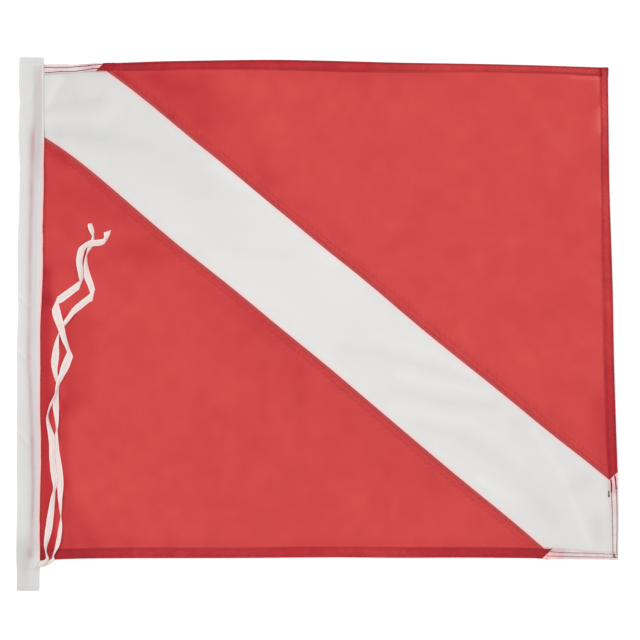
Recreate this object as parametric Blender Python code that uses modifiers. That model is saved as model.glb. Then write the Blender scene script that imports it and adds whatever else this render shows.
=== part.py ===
"""Diver-down flag for a float's pole: three sewn nylon panels, a pole sleeve and a tie ribbon.

The flag lies flat, face up, hoist at -X and top edge at +Y, with its underside on z = 0.
Metres, +Z up. The origin is the bottom centre of the whole flag's box.
"""
import math

import bmesh
import bpy
from mathutils import Vector

MM = 0.001

# ---- driving dimensions, in millimetres -------------------------------------------------
# Finished edges of the sewn flag, read as gentle curves: the hems pull them a little.
TOP_EDGE = [(-283.5, 265.8), (-252, 267.0), (-229, 268.2), (-164, 270.5), (-102, 272.0), (-50, 273.0),
            (0, 272.5), (82, 270.8), (164, 270.2), (226, 269.2), (295.2, 267.4)]
FLY_EDGE = [(295.2, 267.4), (295.4, 235), (296.5, 183), (298.6, 106), (301.4, 39), (303.0, -32),
            (305.8, -104), (308.4, -162), (309.0, -207), (308.7, -236.5)]
BOTTOM_EDGE = [(308.7, -236.5), (252, -236.5), (231, -235.7), (147, -235.6), (24, -236.2), (-78, -237.8),
               (-200, -238.9), (-253, -239.8), (-283.5, -240.6)]

# The two straight seams that hold the white stripe, each through two points.
UPPER_SEAM = ((-220.8, 261.4), (300.1, -155.3))
LOWER_SEAM = ((-282.8, 192.2), (234.7, -228.1))

GAP = 0.3           # between neighbouring pieces
CLOTH_T = 0.6       # one layer of cloth, as built
SEAM_T = 0.9        # where the seam allowances lie under the red cloth
HEM_T = 1.2         # where a hem is folded over twice
HEM_W = 8.0         # width of the hems
SEAM_W = 9.0        # width of the double cloth along a seam
INSET = 0.1         # a folded hem stands this far inside the cloth's edge

SLEEVE_LEFT = -309.0
SLEEVE_RIGHT = -283.8
SLEEVE_HALF = 273.2     # half of the sleeve's 546.4 mm length
SLEEVE_WALL = 0.6
SLEEVE_SEAM_X = -286.9  # the stitches that close the sleeve over the flag's edge
# The sleeve's upper side from its flat sewn edge over the open pocket to the floor.
SLEEVE_TOP = [(-288.2, 1.2), (-289.4, 1.6), (-291.0, 3.0), (-293.0, 4.8), (-295.8, 6.0), (-299.0, 6.4),
              (-302.4, 6.2), (-305.2, 5.4), (-307.4, 4.0), (-308.7, 2.4), (-309.0, 1.3), (-308.6, 0.4),
              (-307.6, 0.0)]

THREAD_R = 0.2
THREAD_LIFT = 0.15      # clear of the cloth it is sewn on
SEAM_ROWS = (2.6, 8.0)  # the two rows beside a diagonal seam, from the seam
HEM_ROWS = (2.2, 6.2)   # the two rows in a hem, from the finished edge

RIBBON_W = 6.35
RIBBON_T = 0.5
HOIST_AXIS = Vector((-283.65, 0.0, 1.2))
TIE_AXIS = Vector((-271.0, -243.2, 2.0))
LOW_Z, HIGH_Z = 2.25, 3.1   # the two tails cross each other at these heights

# Centrelines of the two tails of the tie, from the flag's lower edge up to the cut ends.
TAIL_A = [(-269.9, -242.7), (-269.5, -240.5), (-266.6, -232.2), (-263.2, -221.6), (-261.5, -209.8),
          (-261.0, -195.7), (-262.4, -180.2), (-261.9, -160.4), (-263.2, -137.0), (-265.1, -125.2),
          (-267.0, -111.1), (-266.5, -96.9), (-267.7, -84.9), (-267.2, -73.4), (-266.1, -60.3),
          (-269.8, -42.9), (-268.8, -20.6), (-266.0, -9.9), (-261.0, 1.0), (-253.1, 11.3), (-243.7, 19.7),
          (-233.5, 28.0), (-231.0, 33.2), (-234.8, 43.1), (-237.4, 51.0), (-239.4, 58.8), (-239.2, 68.6),
          (-234.3, 79.1), (-232.4, 85.7), (-231.1, 90.9), (-232.8, 96.8), (-234.5, 103.3)]
TAIL_B = [(-275.2, -242.7), (-275.5, -239.4), (-276.7, -228.7), (-276.1, -217.0), (-274.5, -205.2),
          (-272.8, -192.3), (-270.6, -179.3), (-267.4, -164.0), (-267.8, -146.4), (-269.2, -131.1),
          (-271.0, -120.5), (-274.6, -107.5), (-276.2, -95.9), (-274.7, -85.0), (-270.1, -76.7),
          (-266.1, -66.4), (-261.0, -48.7), (-256.3, -41.6), (-252.5, -33.3), (-256.4, -24.0),
          (-260.0, -14.6), (-263.7, -2.8), (-267.2, 6.5), (-269.0, 15.5), (-266.5, 24.0), (-260.8, 29.2),
          (-253.0, 34.5), (-245.5, 40.5), (-243.0, 48.0), (-244.0, 55.5), (-245.4, 62.0), (-245.0, 70.0),
          (-242.5, 77.0), (-236.3, 81.9), (-231.1, 83.0), (-224.6, 84.3), (-219.6, 87.6), (-217.3, 92.4),
          (-216.5, 96.3)]

RED = (0.66, 0.075, 0.075)
WHITE = (0.80, 0.80, 0.78)
SLEEVE_WHITE = (0.76, 0.76, 0.75)
RIBBON_WHITE = (0.88, 0.86, 0.84)
THREAD_RED = (0.42, 0.035, 0.04)
THREAD_WHITE = (0.72, 0.70, 0.69)


# ---- scene -------------------------------------------------------------------------------
for old in list(bpy.data.objects):
    bpy.data.objects.remove(old, do_unlink=True)

parts = bpy.data.collections.new("dive_flag")
cutters = bpy.data.collections.new("cutters")
bpy.context.scene.collection.children.link(parts)
bpy.context.scene.collection.children.link(cutters)


def material(name, colour, roughness=0.7):
    m = bpy.data.materials.new(name)
    m.use_nodes = True
    b = m.node_tree.nodes["Principled BSDF"]
    b.inputs["Base Color"].default_value = (*colour, 1.0)
    b.inputs["Roughness"].default_value = roughness
    b.inputs["Metallic"].default_value = 0.0
    m.diffuse_color = (*colour, 1.0)
    return m


def add(name, data, mat, parent=None):
    obj = bpy.data.objects.new(name, data)
    parts.objects.link(obj)
    obj.data.materials.clear()
    obj.data.materials.append(mat)
    if parent is not None:
        obj.parent = parent
        obj.matrix_parent_inverse = parent.matrix_world.inverted()
    return obj


def empty(name, at_mm):
    e = bpy.data.objects.new(name, None)
    e.empty_display_size = 0.02
    e.location = Vector(at_mm) * MM
    parts.objects.link(e)
    bpy.context.view_layer.update()
    return e


# ---- plane geometry, in millimetres ----------------------------------------------------------
def smooth(points, step):
    """Points about step apart on a smooth curve through the given ones."""
    dim = len(points[0])
    p = [Vector(q).to_3d() if dim == 2 else Vector(q) for q in points]
    p = [2 * p[0] - p[1]] + p + [2 * p[-1] - p[-2]]
    fine = []
    for i in range(1, len(p) - 2):
        for k in range(16):
            t = k / 16
            a, b, c, d = p[i - 1], p[i], p[i + 1], p[i + 2]
            fine.append(0.5 * ((2 * b) + (c - a) * t + (2 * a - 5 * b + 4 * c - d) * t * t
                               + (3 * b - a - 3 * c + d) * t * t * t))
    fine.append(p[-2])
    return resample(fine, step)


def resample(fine, step):
    length = [0.0]
    for a, b in zip(fine, fine[1:]):
        length.append(length[-1] + (b - a).length)
    n = max(1, round(length[-1] / step))
    out, j = [], 0
    for i in range(n + 1):
        s = length[-1] * i / n
        while j < len(fine) - 2 and length[j + 1] < s:
            j += 1
        f = (s - length[j]) / max(length[j + 1] - length[j], 1e-9)
        out.append(fine[j].lerp(fine[j + 1], min(max(f, 0.0), 1.0)))
    return out


def edge_offset(points, distance, step=45):
    """An edge of the flag, moved inwards by distance; the flag lies on its right hand."""
    line = smooth(points, step)
    out = []
    for i, p in enumerate(line):
        a, b = line[max(i - 1, 0)], line[min(i + 1, len(line) - 1)]
        d = (b - a).normalized()
        out.append(Vector((p.x + d.y * distance, p.y - d.x * distance)))
    return out


def clip(poly, point, normal):
    """The part of a polygon on the side of a line that its normal points to."""
    out = []
    n = len(poly)
    for i in range(n):
        a, b = Vector(poly[i][:2]), Vector(poly[(i + 1) % n][:2])
        da, db = (a - point).dot(normal), (b - point).dot(normal)
        if da >= 0:
            out.append(a)
        if (da >= 0) != (db >= 0):
            out.append(a.lerp(b, da / (da - db)))
    return out


def seam_frame(seam):
    a, b = Vector(seam[0]), Vector(seam[1])
    d = (b - a).normalized()
    return a, d, Vector((-d.y, d.x))    # the normal points to the upper right


# ---- solids ---------------------------------------------------------------------------------
def outline_curve(name, loops, low, high):
    """A flat outline, as a filled 2D curve between two heights."""
    c = bpy.data.curves.new(name, "CURVE")
    c.dimensions = "2D"
    c.fill_mode = "BOTH"
    c.extrude = (high - low) / 2 * MM
    for loop in loops:
        s = c.splines.new("POLY")
        s.points.add(len(loop) - 1)
        for q, p in zip(s.points, loop):
            q.co = (p[0] * MM, p[1] * MM, 0.0, 1.0)
        s.use_cyclic_u = True
    return c


def slab(name, loops, low, high):
    """The same outline as a closed mesh, ready to be joined to another."""
    c = outline_curve(name + "_outline", loops, low, high)
    tmp = bpy.data.objects.new(name + "_outline", c)
    cutters.objects.link(tmp)
    tmp.location = (0, 0, (low + high) / 2 * MM)
    bpy.context.view_layer.update()
    deps = bpy.context.evaluated_depsgraph_get()
    mesh = bpy.data.meshes.new_from_object(tmp.evaluated_get(deps))
    mesh.transform(tmp.matrix_world)
    bpy.data.objects.remove(tmp, do_unlink=True)
    bm = bmesh.new()
    bm.from_mesh(mesh)
    bmesh.ops.remove_doubles(bm, verts=bm.verts, dist=1e-6)
    bmesh.ops.recalc_face_normals(bm, faces=bm.faces)
    bm.to_mesh(mesh)
    bm.free()
    mesh.name = name
    return mesh


def joined(obj, meshes):
    """Adds folded layers to a panel, as one solid."""
    for i, mesh in enumerate(meshes):
        tool = bpy.data.objects.new(f"{obj.name}_fold_{i}", mesh)
        cutters.objects.link(tool)
        tool.hide_render = True
        tool.display_type = "WIRE"
        if obj.parent is not None:
            tool.parent = obj.parent
            tool.matrix_parent_inverse = obj.parent.matrix_world.inverted()
        mod = obj.modifiers.new(f"fold_{i}", "BOOLEAN")
        mod.operation = "UNION"
        mod.solver = "EXACT"
        mod.object = tool
    return obj


def thread(name, runs, mat, parent):
    """Rows of sewing thread as thin round strands."""
    c = bpy.data.curves.new(name, "CURVE")
    c.dimensions = "3D"
    c.bevel_depth = THREAD_R * MM
    c.bevel_resolution = 1
    c.use_fill_caps = True
    for run in runs:
        s = c.splines.new("POLY")
        s.points.add(len(run) - 1)
        for q, p in zip(s.points, run):
            q.co = (p[0] * MM, p[1] * MM, p[2] * MM, 1.0)
    return add(name, c, mat, parent)


def ribbon(name, points, widths, mat, parent):
    """A flat ribbon along a line: an extruded curve turned flat, given its thickness."""
    c = bpy.data.curves.new(name, "CURVE")
    c.dimensions = "3D"
    c.twist_mode = "Z_UP"
    c.extrude = RIBBON_W / 2 * MM
    s = c.splines.new("POLY")
    s.points.add(len(points) - 1)
    for q, p, w in zip(s.points, points, widths):
        q.co = (p[0] * MM, p[1] * MM, p[2] * MM, 1.0)
        q.tilt = math.pi / 2
        q.radius = w
    obj = add(name, c, mat, parent)
    mod = obj.modifiers.new("thickness", "SOLIDIFY")
    mod.thickness = RIBBON_T * MM
    mod.offset = 0.0
    return obj


def height_line(xy, z):
    return [(p[0], p[1], z) for p in xy]


# ---- materials and joint empties --------------------------------------------------------------
red = material("red_nylon", RED)
white = material("white_nylon", WHITE)
sleeve_white = material("sleeve_nylon", SLEEVE_WHITE)
ribbon_white = material("ribbon_white", RIBBON_WHITE, 0.6)
thread_red = material("thread_red", THREAD_RED, 0.55)
thread_white = material("thread_white", THREAD_WHITE, 0.55)

u_point, u_dir, u_normal = seam_frame(UPPER_SEAM)
l_point, l_dir, l_normal = seam_frame(LOWER_SEAM)

hoist_pivot = empty("hoist_pivot", HOIST_AXIS)
seam_pivot = empty("upper_seam_pivot", (u_point.x, u_point.y, HOIST_AXIS.z))
seam_pivot.parent = hoist_pivot
seam_pivot.matrix_parent_inverse = hoist_pivot.matrix_world.inverted()
tie_pivot = empty("tie_pivot", TIE_AXIS)
tie_pivot.parent = hoist_pivot
tie_pivot.matrix_parent_inverse = hoist_pivot.matrix_world.inverted()
bpy.context.view_layer.update()

# ---- pole sleeve: one strip of cloth folded over a pocket, its two layers sewn flat at the right
outer = [Vector(p).to_3d() for p in SLEEVE_TOP]
arch = smooth(SLEEVE_TOP, 1.3)
ring_out = [(SLEEVE_RIGHT, 0.0), (SLEEVE_RIGHT, HEM_T)] + [(p.x, p.y) for p in arch]
inner = []
loop = arch + [Vector((-288.2, 0.0, 0.0))]
for i, p in enumerate(loop[:-1]):
    a, b = loop[max(i - 1, 0)], loop[i + 1]
    d = (b - a).normalized()
    q = Vector((p.x - d.y * SLEEVE_WALL, p.y + d.x * SLEEVE_WALL))
    if d.x < 0:
        q = Vector((p.x - d.y * SLEEVE_WALL, p.y + d.x * SLEEVE_WALL))
    if q.x < -290.4 and q.y > SLEEVE_WALL:
        inner.append((q.x, q.y))
ring_in = inner + [(-306.9, SLEEVE_WALL), (-290.6, SLEEVE_WALL)]
sleeve_curve = outline_curve("hoist_sleeve", [ring_out, ring_in], -SLEEVE_HALF, SLEEVE_HALF)
sleeve = add("hoist_sleeve", sleeve_curve, sleeve_white)
sleeve.rotation_euler = (math.pi / 2, 0.0, 0.0)

# ---- the three panels of the flag ----------------------------------------------------------------
top_line = [Vector(p[:2]) for p in smooth(TOP_EDGE, 45)]
fly_line = [Vector(p[:2]) for p in smooth(FLY_EDGE, 45)]
bottom_line = [Vector(p[:2]) for p in smooth(BOTTOM_EDGE, 45)]
flag = top_line + fly_line[1:] + bottom_line[1:]

upper_shape = clip(flag, u_point + u_normal * GAP / 2, u_normal)
stripe_shape = clip(clip(flag, u_point - u_normal * GAP / 2, -u_normal), l_point + l_normal * GAP / 2, l_normal)
lower_shape = clip(flag, l_point - l_normal * GAP / 2, -l_normal)


def hem_band(edges):
    """The outline of a hem along one edge of the flag or round a corner."""
    out, back = [], []
    for i, e in enumerate(edges):
        o, b = edge_offset(e, INSET), edge_offset(e, HEM_W)
        if i == 0:
            out, back = o, b
            continue
        # the two offset lines meet at the corner
        for seq, new in ((out, o), (back, b)):
            p, q = seq[-2], seq[-1]
            r, s = new[0], new[1]
            d1, d2 = q - p, s - r
            k = ((r.x - p.x) * d2.y - (r.y - p.y) * d2.x) / (d1.x * d2.y - d1.y * d2.x)
            seq[-1] = p + d1 * k
            seq.extend(new[1:])
    return out + back[::-1]


start, end = GAP / 2 + INSET, HOIST_AXIS.x + GAP / 2 + INSET
hoist_side = (Vector((end, 0.0)), Vector((1.0, 0.0)))
top_fly = hem_band([TOP_EDGE, FLY_EDGE])
fly_bottom = hem_band([FLY_EDGE, BOTTOM_EDGE])
top_only = hem_band([TOP_EDGE])
bottom_only = hem_band([BOTTOM_EDGE])

upper_hem = clip(top_fly, u_point + u_normal * start, u_normal)
stripe_hem_top = clip(clip(top_only, u_point - u_normal * start, -u_normal), *hoist_side)
stripe_hem_low = clip(clip(fly_bottom, u_point - u_normal * start, -u_normal), l_point + l_normal * start, l_normal)
lower_hem = clip(clip(bottom_only, l_point - l_normal * start, -l_normal), *hoist_side)


def seam_band(point, direction, normal, a, b):
    """The doubled cloth beside a seam, its ends hidden in the hems or at the sleeve."""
    return [point + direction * a + normal * start, point + direction * b + normal * start,
            point + direction * (b - 7.0) + normal * SEAM_W, point + direction * (a + 7.0) + normal * SEAM_W]


seam_length_u = (Vector(UPPER_SEAM[1]) - Vector(UPPER_SEAM[0])).length
seam_length_l = (Vector(LOWER_SEAM[1]) - Vector(LOWER_SEAM[0])).length
upper_seam_band = seam_band(u_point, u_dir, u_normal, -2.0, seam_length_u + 2.0)
lower_seam_band = clip(seam_band(l_point, l_dir, -l_normal, -2.0, seam_length_l + 2.0), *hoist_side)

upper_red = add("upper_red_panel", slab("upper_red_panel", [upper_shape], 0.0, CLOTH_T), red, seam_pivot)
joined(upper_red, [slab("upper_seam_fold", [upper_seam_band], 0.3, SEAM_T),
                   slab("upper_hem_fold", [upper_hem], 0.4, HEM_T)])
stripe = add("white_stripe_panel", slab("white_stripe_panel", [stripe_shape], 0.0, CLOTH_T), white, hoist_pivot)
joined(stripe, [slab("stripe_hem_top", [stripe_hem_top], 0.4, HEM_T),
                slab("stripe_hem_low", [stripe_hem_low], 0.4, HEM_T)])
lower_red = add("lower_red_panel", slab("lower_red_panel", [lower_shape], 0.0, CLOTH_T), red, hoist_pivot)
joined(lower_red, [slab("lower_seam_fold", [lower_seam_band], 0.3, SEAM_T),
                   slab("lower_hem_fold", [lower_hem], 0.4, HEM_T)])

# ---- sewing threads ---------------------------------------------------------------------------------
ON_HEM = HEM_T + THREAD_LIFT + THREAD_R
ON_SEAM = SEAM_T + THREAD_LIFT + THREAD_R


def keep(line, tests):
    return [p for p in line if all((p - q).dot(n) > m for q, n, m in tests)]


def row_between(line, tests, z):
    """The stretch of a row that lies inside the given lines, ending just short of them."""
    fine = resample([Vector((p.x, p.y, 0.0)) for p in line], 1.0)
    inside = [p for p in fine if all((p.to_2d() - q).dot(n) > m for q, n, m in tests)]
    return height_line(resample(inside, 42), z)


above = (u_point, u_normal, 3.0)
below = (u_point, -u_normal, 3.0)
over = (l_point, l_normal, 3.0)
under = (l_point, -l_normal, 3.0)
hoist = (Vector((HOIST_AXIS.x, 0.0)), Vector((1.0, 0.0)), 1.2)
fly_limit = (Vector((301.0, 0.0)), Vector((-1.0, 0.0)), 0.0)
top_limit = (Vector((0.0, 259.5)), Vector((0.0, -1.0)), 0.0)
low_limit = (Vector((0.0, -228.0)), Vector((0.0, 1.0)), 0.0)

for label, offset in zip(("outer", "inner"), HEM_ROWS):
    t, f, b = (edge_offset(e, offset) for e in (TOP_EDGE, FLY_EDGE, BOTTOM_EDGE))
    corner = (Vector((285.5, 0.0)), Vector((-1.0, 0.0)), 0.0)
    f_top = (Vector((0.0, 265.0)), Vector((0.0, -1.0)), 0.0)
    f_low = (Vector((0.0, -226.5)), Vector((0.0, 1.0)), 0.0)
    thread(f"top_hem_thread_{label}_red", [row_between(t, [above, corner], ON_HEM)], thread_red, seam_pivot)
    thread(f"top_hem_thread_{label}_white", [row_between(t, [below, hoist], ON_HEM)], thread_red, hoist_pivot)
    thread(f"fly_hem_thread_{label}_red", [row_between(f, [above, f_top], ON_HEM)], thread_red, seam_pivot)
    thread(f"fly_hem_thread_{label}_white", [row_between(f, [below, f_low], ON_HEM)], thread_red, hoist_pivot)
    thread(f"bottom_hem_thread_{label}", [row_between(b, [hoist], ON_HEM)], thread_red, hoist_pivot)

for label, offset in zip(("outer", "inner"), SEAM_ROWS):
    a = u_point + u_normal * offset + u_dir * (offset + 4.0)
    b = u_point + u_normal * offset + u_dir * (seam_length_u - offset - 5.0)
    thread(f"upper_seam_thread_{label}", [height_line(resample([a.to_3d(), b.to_3d()], 60), ON_SEAM)],
           thread_red, seam_pivot)
    a = l_point - l_normal * offset + l_dir * (offset + 3.0)
    b = l_point - l_normal * offset + l_dir * (seam_length_l - offset - 5.0)
    thread(f"lower_seam_thread_{label}", [height_line(resample([a.to_3d(), b.to_3d()], 60), ON_SEAM)],
           thread_red, hoist_pivot)

thread("sleeve_seam_thread",
       [[(SLEEVE_SEAM_X, y, ON_HEM) for y in (-270.0, -180.0, -90.0, 0.0, 90.0, 180.0, 270.0)]],
       thread_white, None)
over_top = []
for i, p in enumerate(arch[1:-4]):
    d = (arch[i + 2] - arch[i]).normalized()
    over_top.append((p.x + d.y * (THREAD_LIFT + THREAD_R + 0.05), p.y - d.x * (THREAD_LIFT + THREAD_R + 0.05)))
thread("sleeve_top_hem_thread", [[(x, SLEEVE_HALF - 6.4, z) for x, z in over_top]], thread_white, None)
thread("sleeve_bottom_hem_thread", [[(x, 4.6 - SLEEVE_HALF, z) for x, z in over_top]], thread_white, None)

# ---- tie: one ribbon folded in the middle, caught in the sleeve's seam below the flag ----------------
# The fold goes from the sleeve's edge round below the flag's hem; the tails lie up over the cloth.
fold_shape = [(SLEEVE_RIGHT + GAP, -250.2), (-276.0, -250.4), (-271.0, -249.4), (-268.0, -247.0),
              (-267.2, TIE_AXIS.y - GAP / 2), (-278.2, TIE_AXIS.y - GAP / 2), (SLEEVE_RIGHT + GAP, -243.9)]
add("tie_ribbon_fold", slab("tie_ribbon_fold", [[Vector(p) for p in fold_shape]], 0.3, 0.8), ribbon_white,
    hoist_pivot)


def tail(points, level):
    """The tail's line in space: it climbs over the hem and lies on the cloth at its own height."""
    line = smooth(points, 4.0)
    for _ in range(2):
        line = [line[0]] + [(a + 2 * b + c) / 4 for a, b, c in zip(line, line[1:], line[2:])] + [line[-1]]
    line = resample(line, 1.0)
    out = []
    for p in line:
        y = p.y - TIE_AXIS.y
        if y < 0.6:
            z = 0.6
        elif y < 2.6:
            z = 0.6 + (LOW_Z - 0.6) * (y - 0.6) / 2.0
        else:
            z = LOW_Z
        if y > 6.0:
            z += (level - LOW_Z) * min(1.0, (y - 6.0) / 25.0)
        out.append(Vector((p.x, p.y, z)))
    near = [q for q in out if q.y < TIE_AXIS.y + 4.0]
    far = [q for q in out if q.y >= TIE_AXIS.y + 4.0]
    line = near[::1] + resample(far, 8.0)
    widths = [0.68 if q.y < TIE_AXIS.y + 10.0 else min(1.0, 0.68 + (q.y - TIE_AXIS.y - 10.0) / 90.0) for q in line]
    return line, widths


for name, points, level in (("tie_ribbon_tail_a", TAIL_A, LOW_Z), ("tie_ribbon_tail_b", TAIL_B, HIGH_Z)):
    line, widths = tail(points, level)
    ribbon(name, line, widths, ribbon_white, tie_pivot)

thread("tie_tack_thread",
       [[(SLEEVE_SEAM_X + (0.9 if k % 2 else 2.3), -250.0 + 0.9 * k, ON_HEM) for k in range(8)]],
       thread_white, None)
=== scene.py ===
"""A diver's flag laid out flat: red nylon with a white diagonal stripe, a white pole sleeve on its left edge
and a thin white tie ribbon sewn into the foot of the sleeve. Lengths in this script are in millimetres in the
frame of the part, and turn into metres when a mesh is made."""

import math

import bpy
import numpy as np
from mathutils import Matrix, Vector
from mathutils.geometry import delaunay_2d_cdt


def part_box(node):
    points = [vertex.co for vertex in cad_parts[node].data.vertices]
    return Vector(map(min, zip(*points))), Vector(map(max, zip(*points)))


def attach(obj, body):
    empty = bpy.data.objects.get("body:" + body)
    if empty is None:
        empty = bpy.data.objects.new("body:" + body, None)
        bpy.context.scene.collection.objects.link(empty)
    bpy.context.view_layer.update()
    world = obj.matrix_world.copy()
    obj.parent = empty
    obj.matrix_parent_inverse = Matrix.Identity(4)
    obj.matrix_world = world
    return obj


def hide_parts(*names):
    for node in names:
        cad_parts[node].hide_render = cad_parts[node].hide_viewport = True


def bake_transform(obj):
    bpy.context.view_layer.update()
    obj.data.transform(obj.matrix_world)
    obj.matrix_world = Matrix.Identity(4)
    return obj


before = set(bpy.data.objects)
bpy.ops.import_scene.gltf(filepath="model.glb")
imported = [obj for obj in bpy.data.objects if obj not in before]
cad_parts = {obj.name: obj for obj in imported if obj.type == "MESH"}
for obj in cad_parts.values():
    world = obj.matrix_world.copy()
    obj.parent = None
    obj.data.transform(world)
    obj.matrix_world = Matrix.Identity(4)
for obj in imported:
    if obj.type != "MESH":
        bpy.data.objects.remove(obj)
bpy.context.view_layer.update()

# ---------------------------------------------------------------- places

K = 1.025                       # millimetres of the flag to one picture element, straight down
TURN = math.radians(0.42)       # the flag lies turned by this much in the picture


def at(px, py):
    """The place on the floor, in millimetres, that is seen at a place in the 640 by 640 picture."""
    px = np.asarray(px, float)
    py = np.asarray(py, float)
    u = (px - 316.6) * K
    v = (323.9 - py) * K
    return (u * math.cos(TURN) - v * math.sin(TURN) - 1.5, u * math.sin(TURN) + v * math.cos(TURN) + 2.2)


TOP_EDGE = [(-283.5, 265.8), (-252, 267.0), (-229, 268.2), (-164, 270.5), (-102, 272.0), (-50, 273.0), (0, 272.5),
            (82, 270.8), (164, 270.2), (226, 269.2), (294.6, 267.3)]
FLY_EDGE = [(294.6, 267.3), (294.9, 255), (295.2, 235), (296.1, 190), (296.3, 172), (297.2, 140), (298.6, 106), (301.4, 39), (303.0, -32), (305.8, -104),
            (308.4, -162), (309.0, -207), (308.7, -236.5)]
BOTTOM_EDGE = [(308.7, -236.5), (252, -236.5), (231, -235.7), (147, -235.7), (84, -236.5), (24, -236.3), (-78, -237.8),
               (-200, -238.9), (-253, -239.8), (-267, -240.4), (-274, -241.5), (-283.5, -241.8)]
UPPER_A, UPPER_B = np.array((-220.8, 261.4)), np.array((300.1, -155.3))
LOWER_A, LOWER_B = np.array((-282.8, 192.2)), np.array((234.7, -228.1))
SLEEVE_END = 273.2
CLOTH = 0.22                    # one layer of the nylon
HEM_W = 8.0
HEM_ROWS = (2.2, 6.2)
SEAM_ROWS = (2.6, 8.0)
R_FOLD, R_TURN = 0.38, 0.18     # the hem's fold at the edge, and the cloth's end turned under in it

U_DIR = (UPPER_B - UPPER_A) / np.linalg.norm(UPPER_B - UPPER_A)
U_NRM = np.array((-U_DIR[1], U_DIR[0]))         # into the upper red
L_DIR = (LOWER_B - LOWER_A) / np.linalg.norm(LOWER_B - LOWER_A)
L_NRM = np.array((L_DIR[1], -L_DIR[0]))         # into the lower red


# the sewn seams aren't quite straight: how far along, how far off the straight line into the red
UPPER_WAVE = [(-40, -1.6), (-14, -0.9), (0, 0.1), (15, 1.1), (30, 1.8), (60, 2.2), (90, 1.8), (120, 1.45), (150, 1.8),
              (180, 1.4), (210, 0.85), (240, 0.75), (270, 0.35), (300, 0.25), (330, 0.7), (360, 0.4), (390, -0.5),
              (420, -1.1), (450, -1.15), (480, -0.9), (510, -0.7), (540, -0.6), (570, -0.95), (600, -0.85),
              (630, -0.1), (700, -0.2)]
LOWER_WAVE = [(-40, 2.4), (-15, 1.6), (0, 0.5), (12, -1.2), (30, -2.8), (60, -3.7), (90, -3.3), (120, -2.5),
              (150, -1.9), (180, -1.6), (210, -2.2), (240, -2.8), (270, -3.05), (300, -2.75), (330, -2.85),
              (360, -3.15), (390, -3.0), (420, -2.45), (450, -2.05), (480, -1.55), (510, -1.2), (540, -0.9),
              (570, -0.95), (600, -1.2), (630, -1.1), (660, -0.4), (700, 0.2)]


def wave(table):
    """A table's steps made into one even, gently bent line."""
    t = np.array(table, float)
    s = np.arange(t[0, 0], t[-1, 0] + 0.1, 2.0)
    v = np.interp(s, t[:, 0], t[:, 1])
    k = np.exp(-0.5 * (np.arange(-9, 10) / 3.5) ** 2)
    v = np.convolve(np.pad(v, 9, mode="edge"), k / k.sum(), mode="valid")
    return s, v


U_WAVE, L_WAVE = wave(UPPER_WAVE), wave(LOWER_WAVE)


def off_upper(x, y):
    s = (x - UPPER_A[0]) * U_DIR[0] + (y - UPPER_A[1]) * U_DIR[1]
    return (x - UPPER_A[0]) * U_NRM[0] + (y - UPPER_A[1]) * U_NRM[1] - np.interp(s, *U_WAVE)


def off_lower(x, y):
    s = (x - LOWER_A[0]) * L_DIR[0] + (y - LOWER_A[1]) * L_DIR[1]
    return (x - LOWER_A[0]) * L_NRM[0] + (y - LOWER_A[1]) * L_NRM[1] - np.interp(s, *L_WAVE)


def on_seam(which, s, d):
    """Places beside a seam: s along it, d into the red."""
    a, direction, normal, bent = (UPPER_A, U_DIR, U_NRM, U_WAVE) if which == "upper" else (LOWER_A, L_DIR, L_NRM, L_WAVE)
    s = np.asarray(s, float)
    d = d + np.interp(s, *bent)
    return a[None] + direction[None] * s[..., None] + normal[None] * d[..., None]


def meets(which, lo, hi, outside):
    """How far along a seam it comes to an edge."""
    for _ in range(40):
        mid = (lo + hi) / 2
        q = on_seam(which, np.array([mid]), 0.0)[0]
        if outside(q[0], q[1]) == outside(*on_seam(which, np.array([lo]), 0.0)[0]):
            lo = mid
        else:
            hi = mid
    return (lo + hi) / 2


def raw_x(y):
    """Where the flag's cut edge lies inside the sleeve."""
    return np.interp(y, [-245, -236, -199, -166, -133, -100, -68, -35, -2, 31, 64, 96, 129, 162, 195, 230, 255, 272],
                     [-294.6, -294.0, -293.0, -292.4, -293.0, -294.2, -295.6, -296.8, -296.5, -296.6, -296.0, -295.3,
                      -294.7, -294.2, -293.2, -290.4, -288.6, -288.2])


def flange_x(y):
    """The sleeve's right edge, sewn down on the flag."""
    return np.interp(y, [-275, -262, -232, -215, -199, -182, -166, -150, -133, -117, -100, -84, -68, -51, -35, -18, -2,
                         14, 31, 47, 64, 80, 96, 113, 129, 146, 162, 178, 192, 230, 266, 275],
                     [-283.9, -283.9, -283.2, -283.9, -283.8, -283.7, -283.6, -283.1, -283.0, -283.2, -283.9, -284.4,
                      -284.4, -284.2, -284.7, -284.7, -284.8, -284.1, -283.5, -282.6, -282.4, -282.6, -283.0, -282.8,
                      -282.2, -282.2, -282.3, -282.1, -282.4, -282.9, -283.2, -283.4])


def fold_x(y):
    """The sleeve's left edge, a plain fold."""
    return np.interp(y, [-275, -262, -232, -199, -166, -133, -100, -68, -35, -10, 14, 31, 64, 80, 96, 113, 146, 162, 178,
                         195, 212, 228, 245, 262, 275],
                     [-306.9, -307.0, -307.5, -307.3, -307.3, -307.9, -307.8, -308.3, -308.5, -308.3, -307.5, -307.9,
                      -308.5, -308.7, -308.1, -307.4, -307.0, -307.0, -307.9, -308.6, -308.1, -307.6, -308.7, -308.4,
                      -307.8])


# ---------------------------------------------------------------- noise and small helpers

def smooth(a, b, x):
    t = np.clip((np.asarray(x, float) - a) / (b - a), 0.0, 1.0)
    return t * t * (3 - 2 * t)


def lattice(ix, iy, seed):
    h = (ix.astype(np.int64) * 374761393 + iy.astype(np.int64) * 668265263 + seed * 144665) & 0xFFFFFFFF
    h = ((h ^ (h >> 13)) * 1274126177) & 0xFFFFFFFF
    return ((h ^ (h >> 16)) & 0xFFFF) / 32767.5 - 1.0


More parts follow.
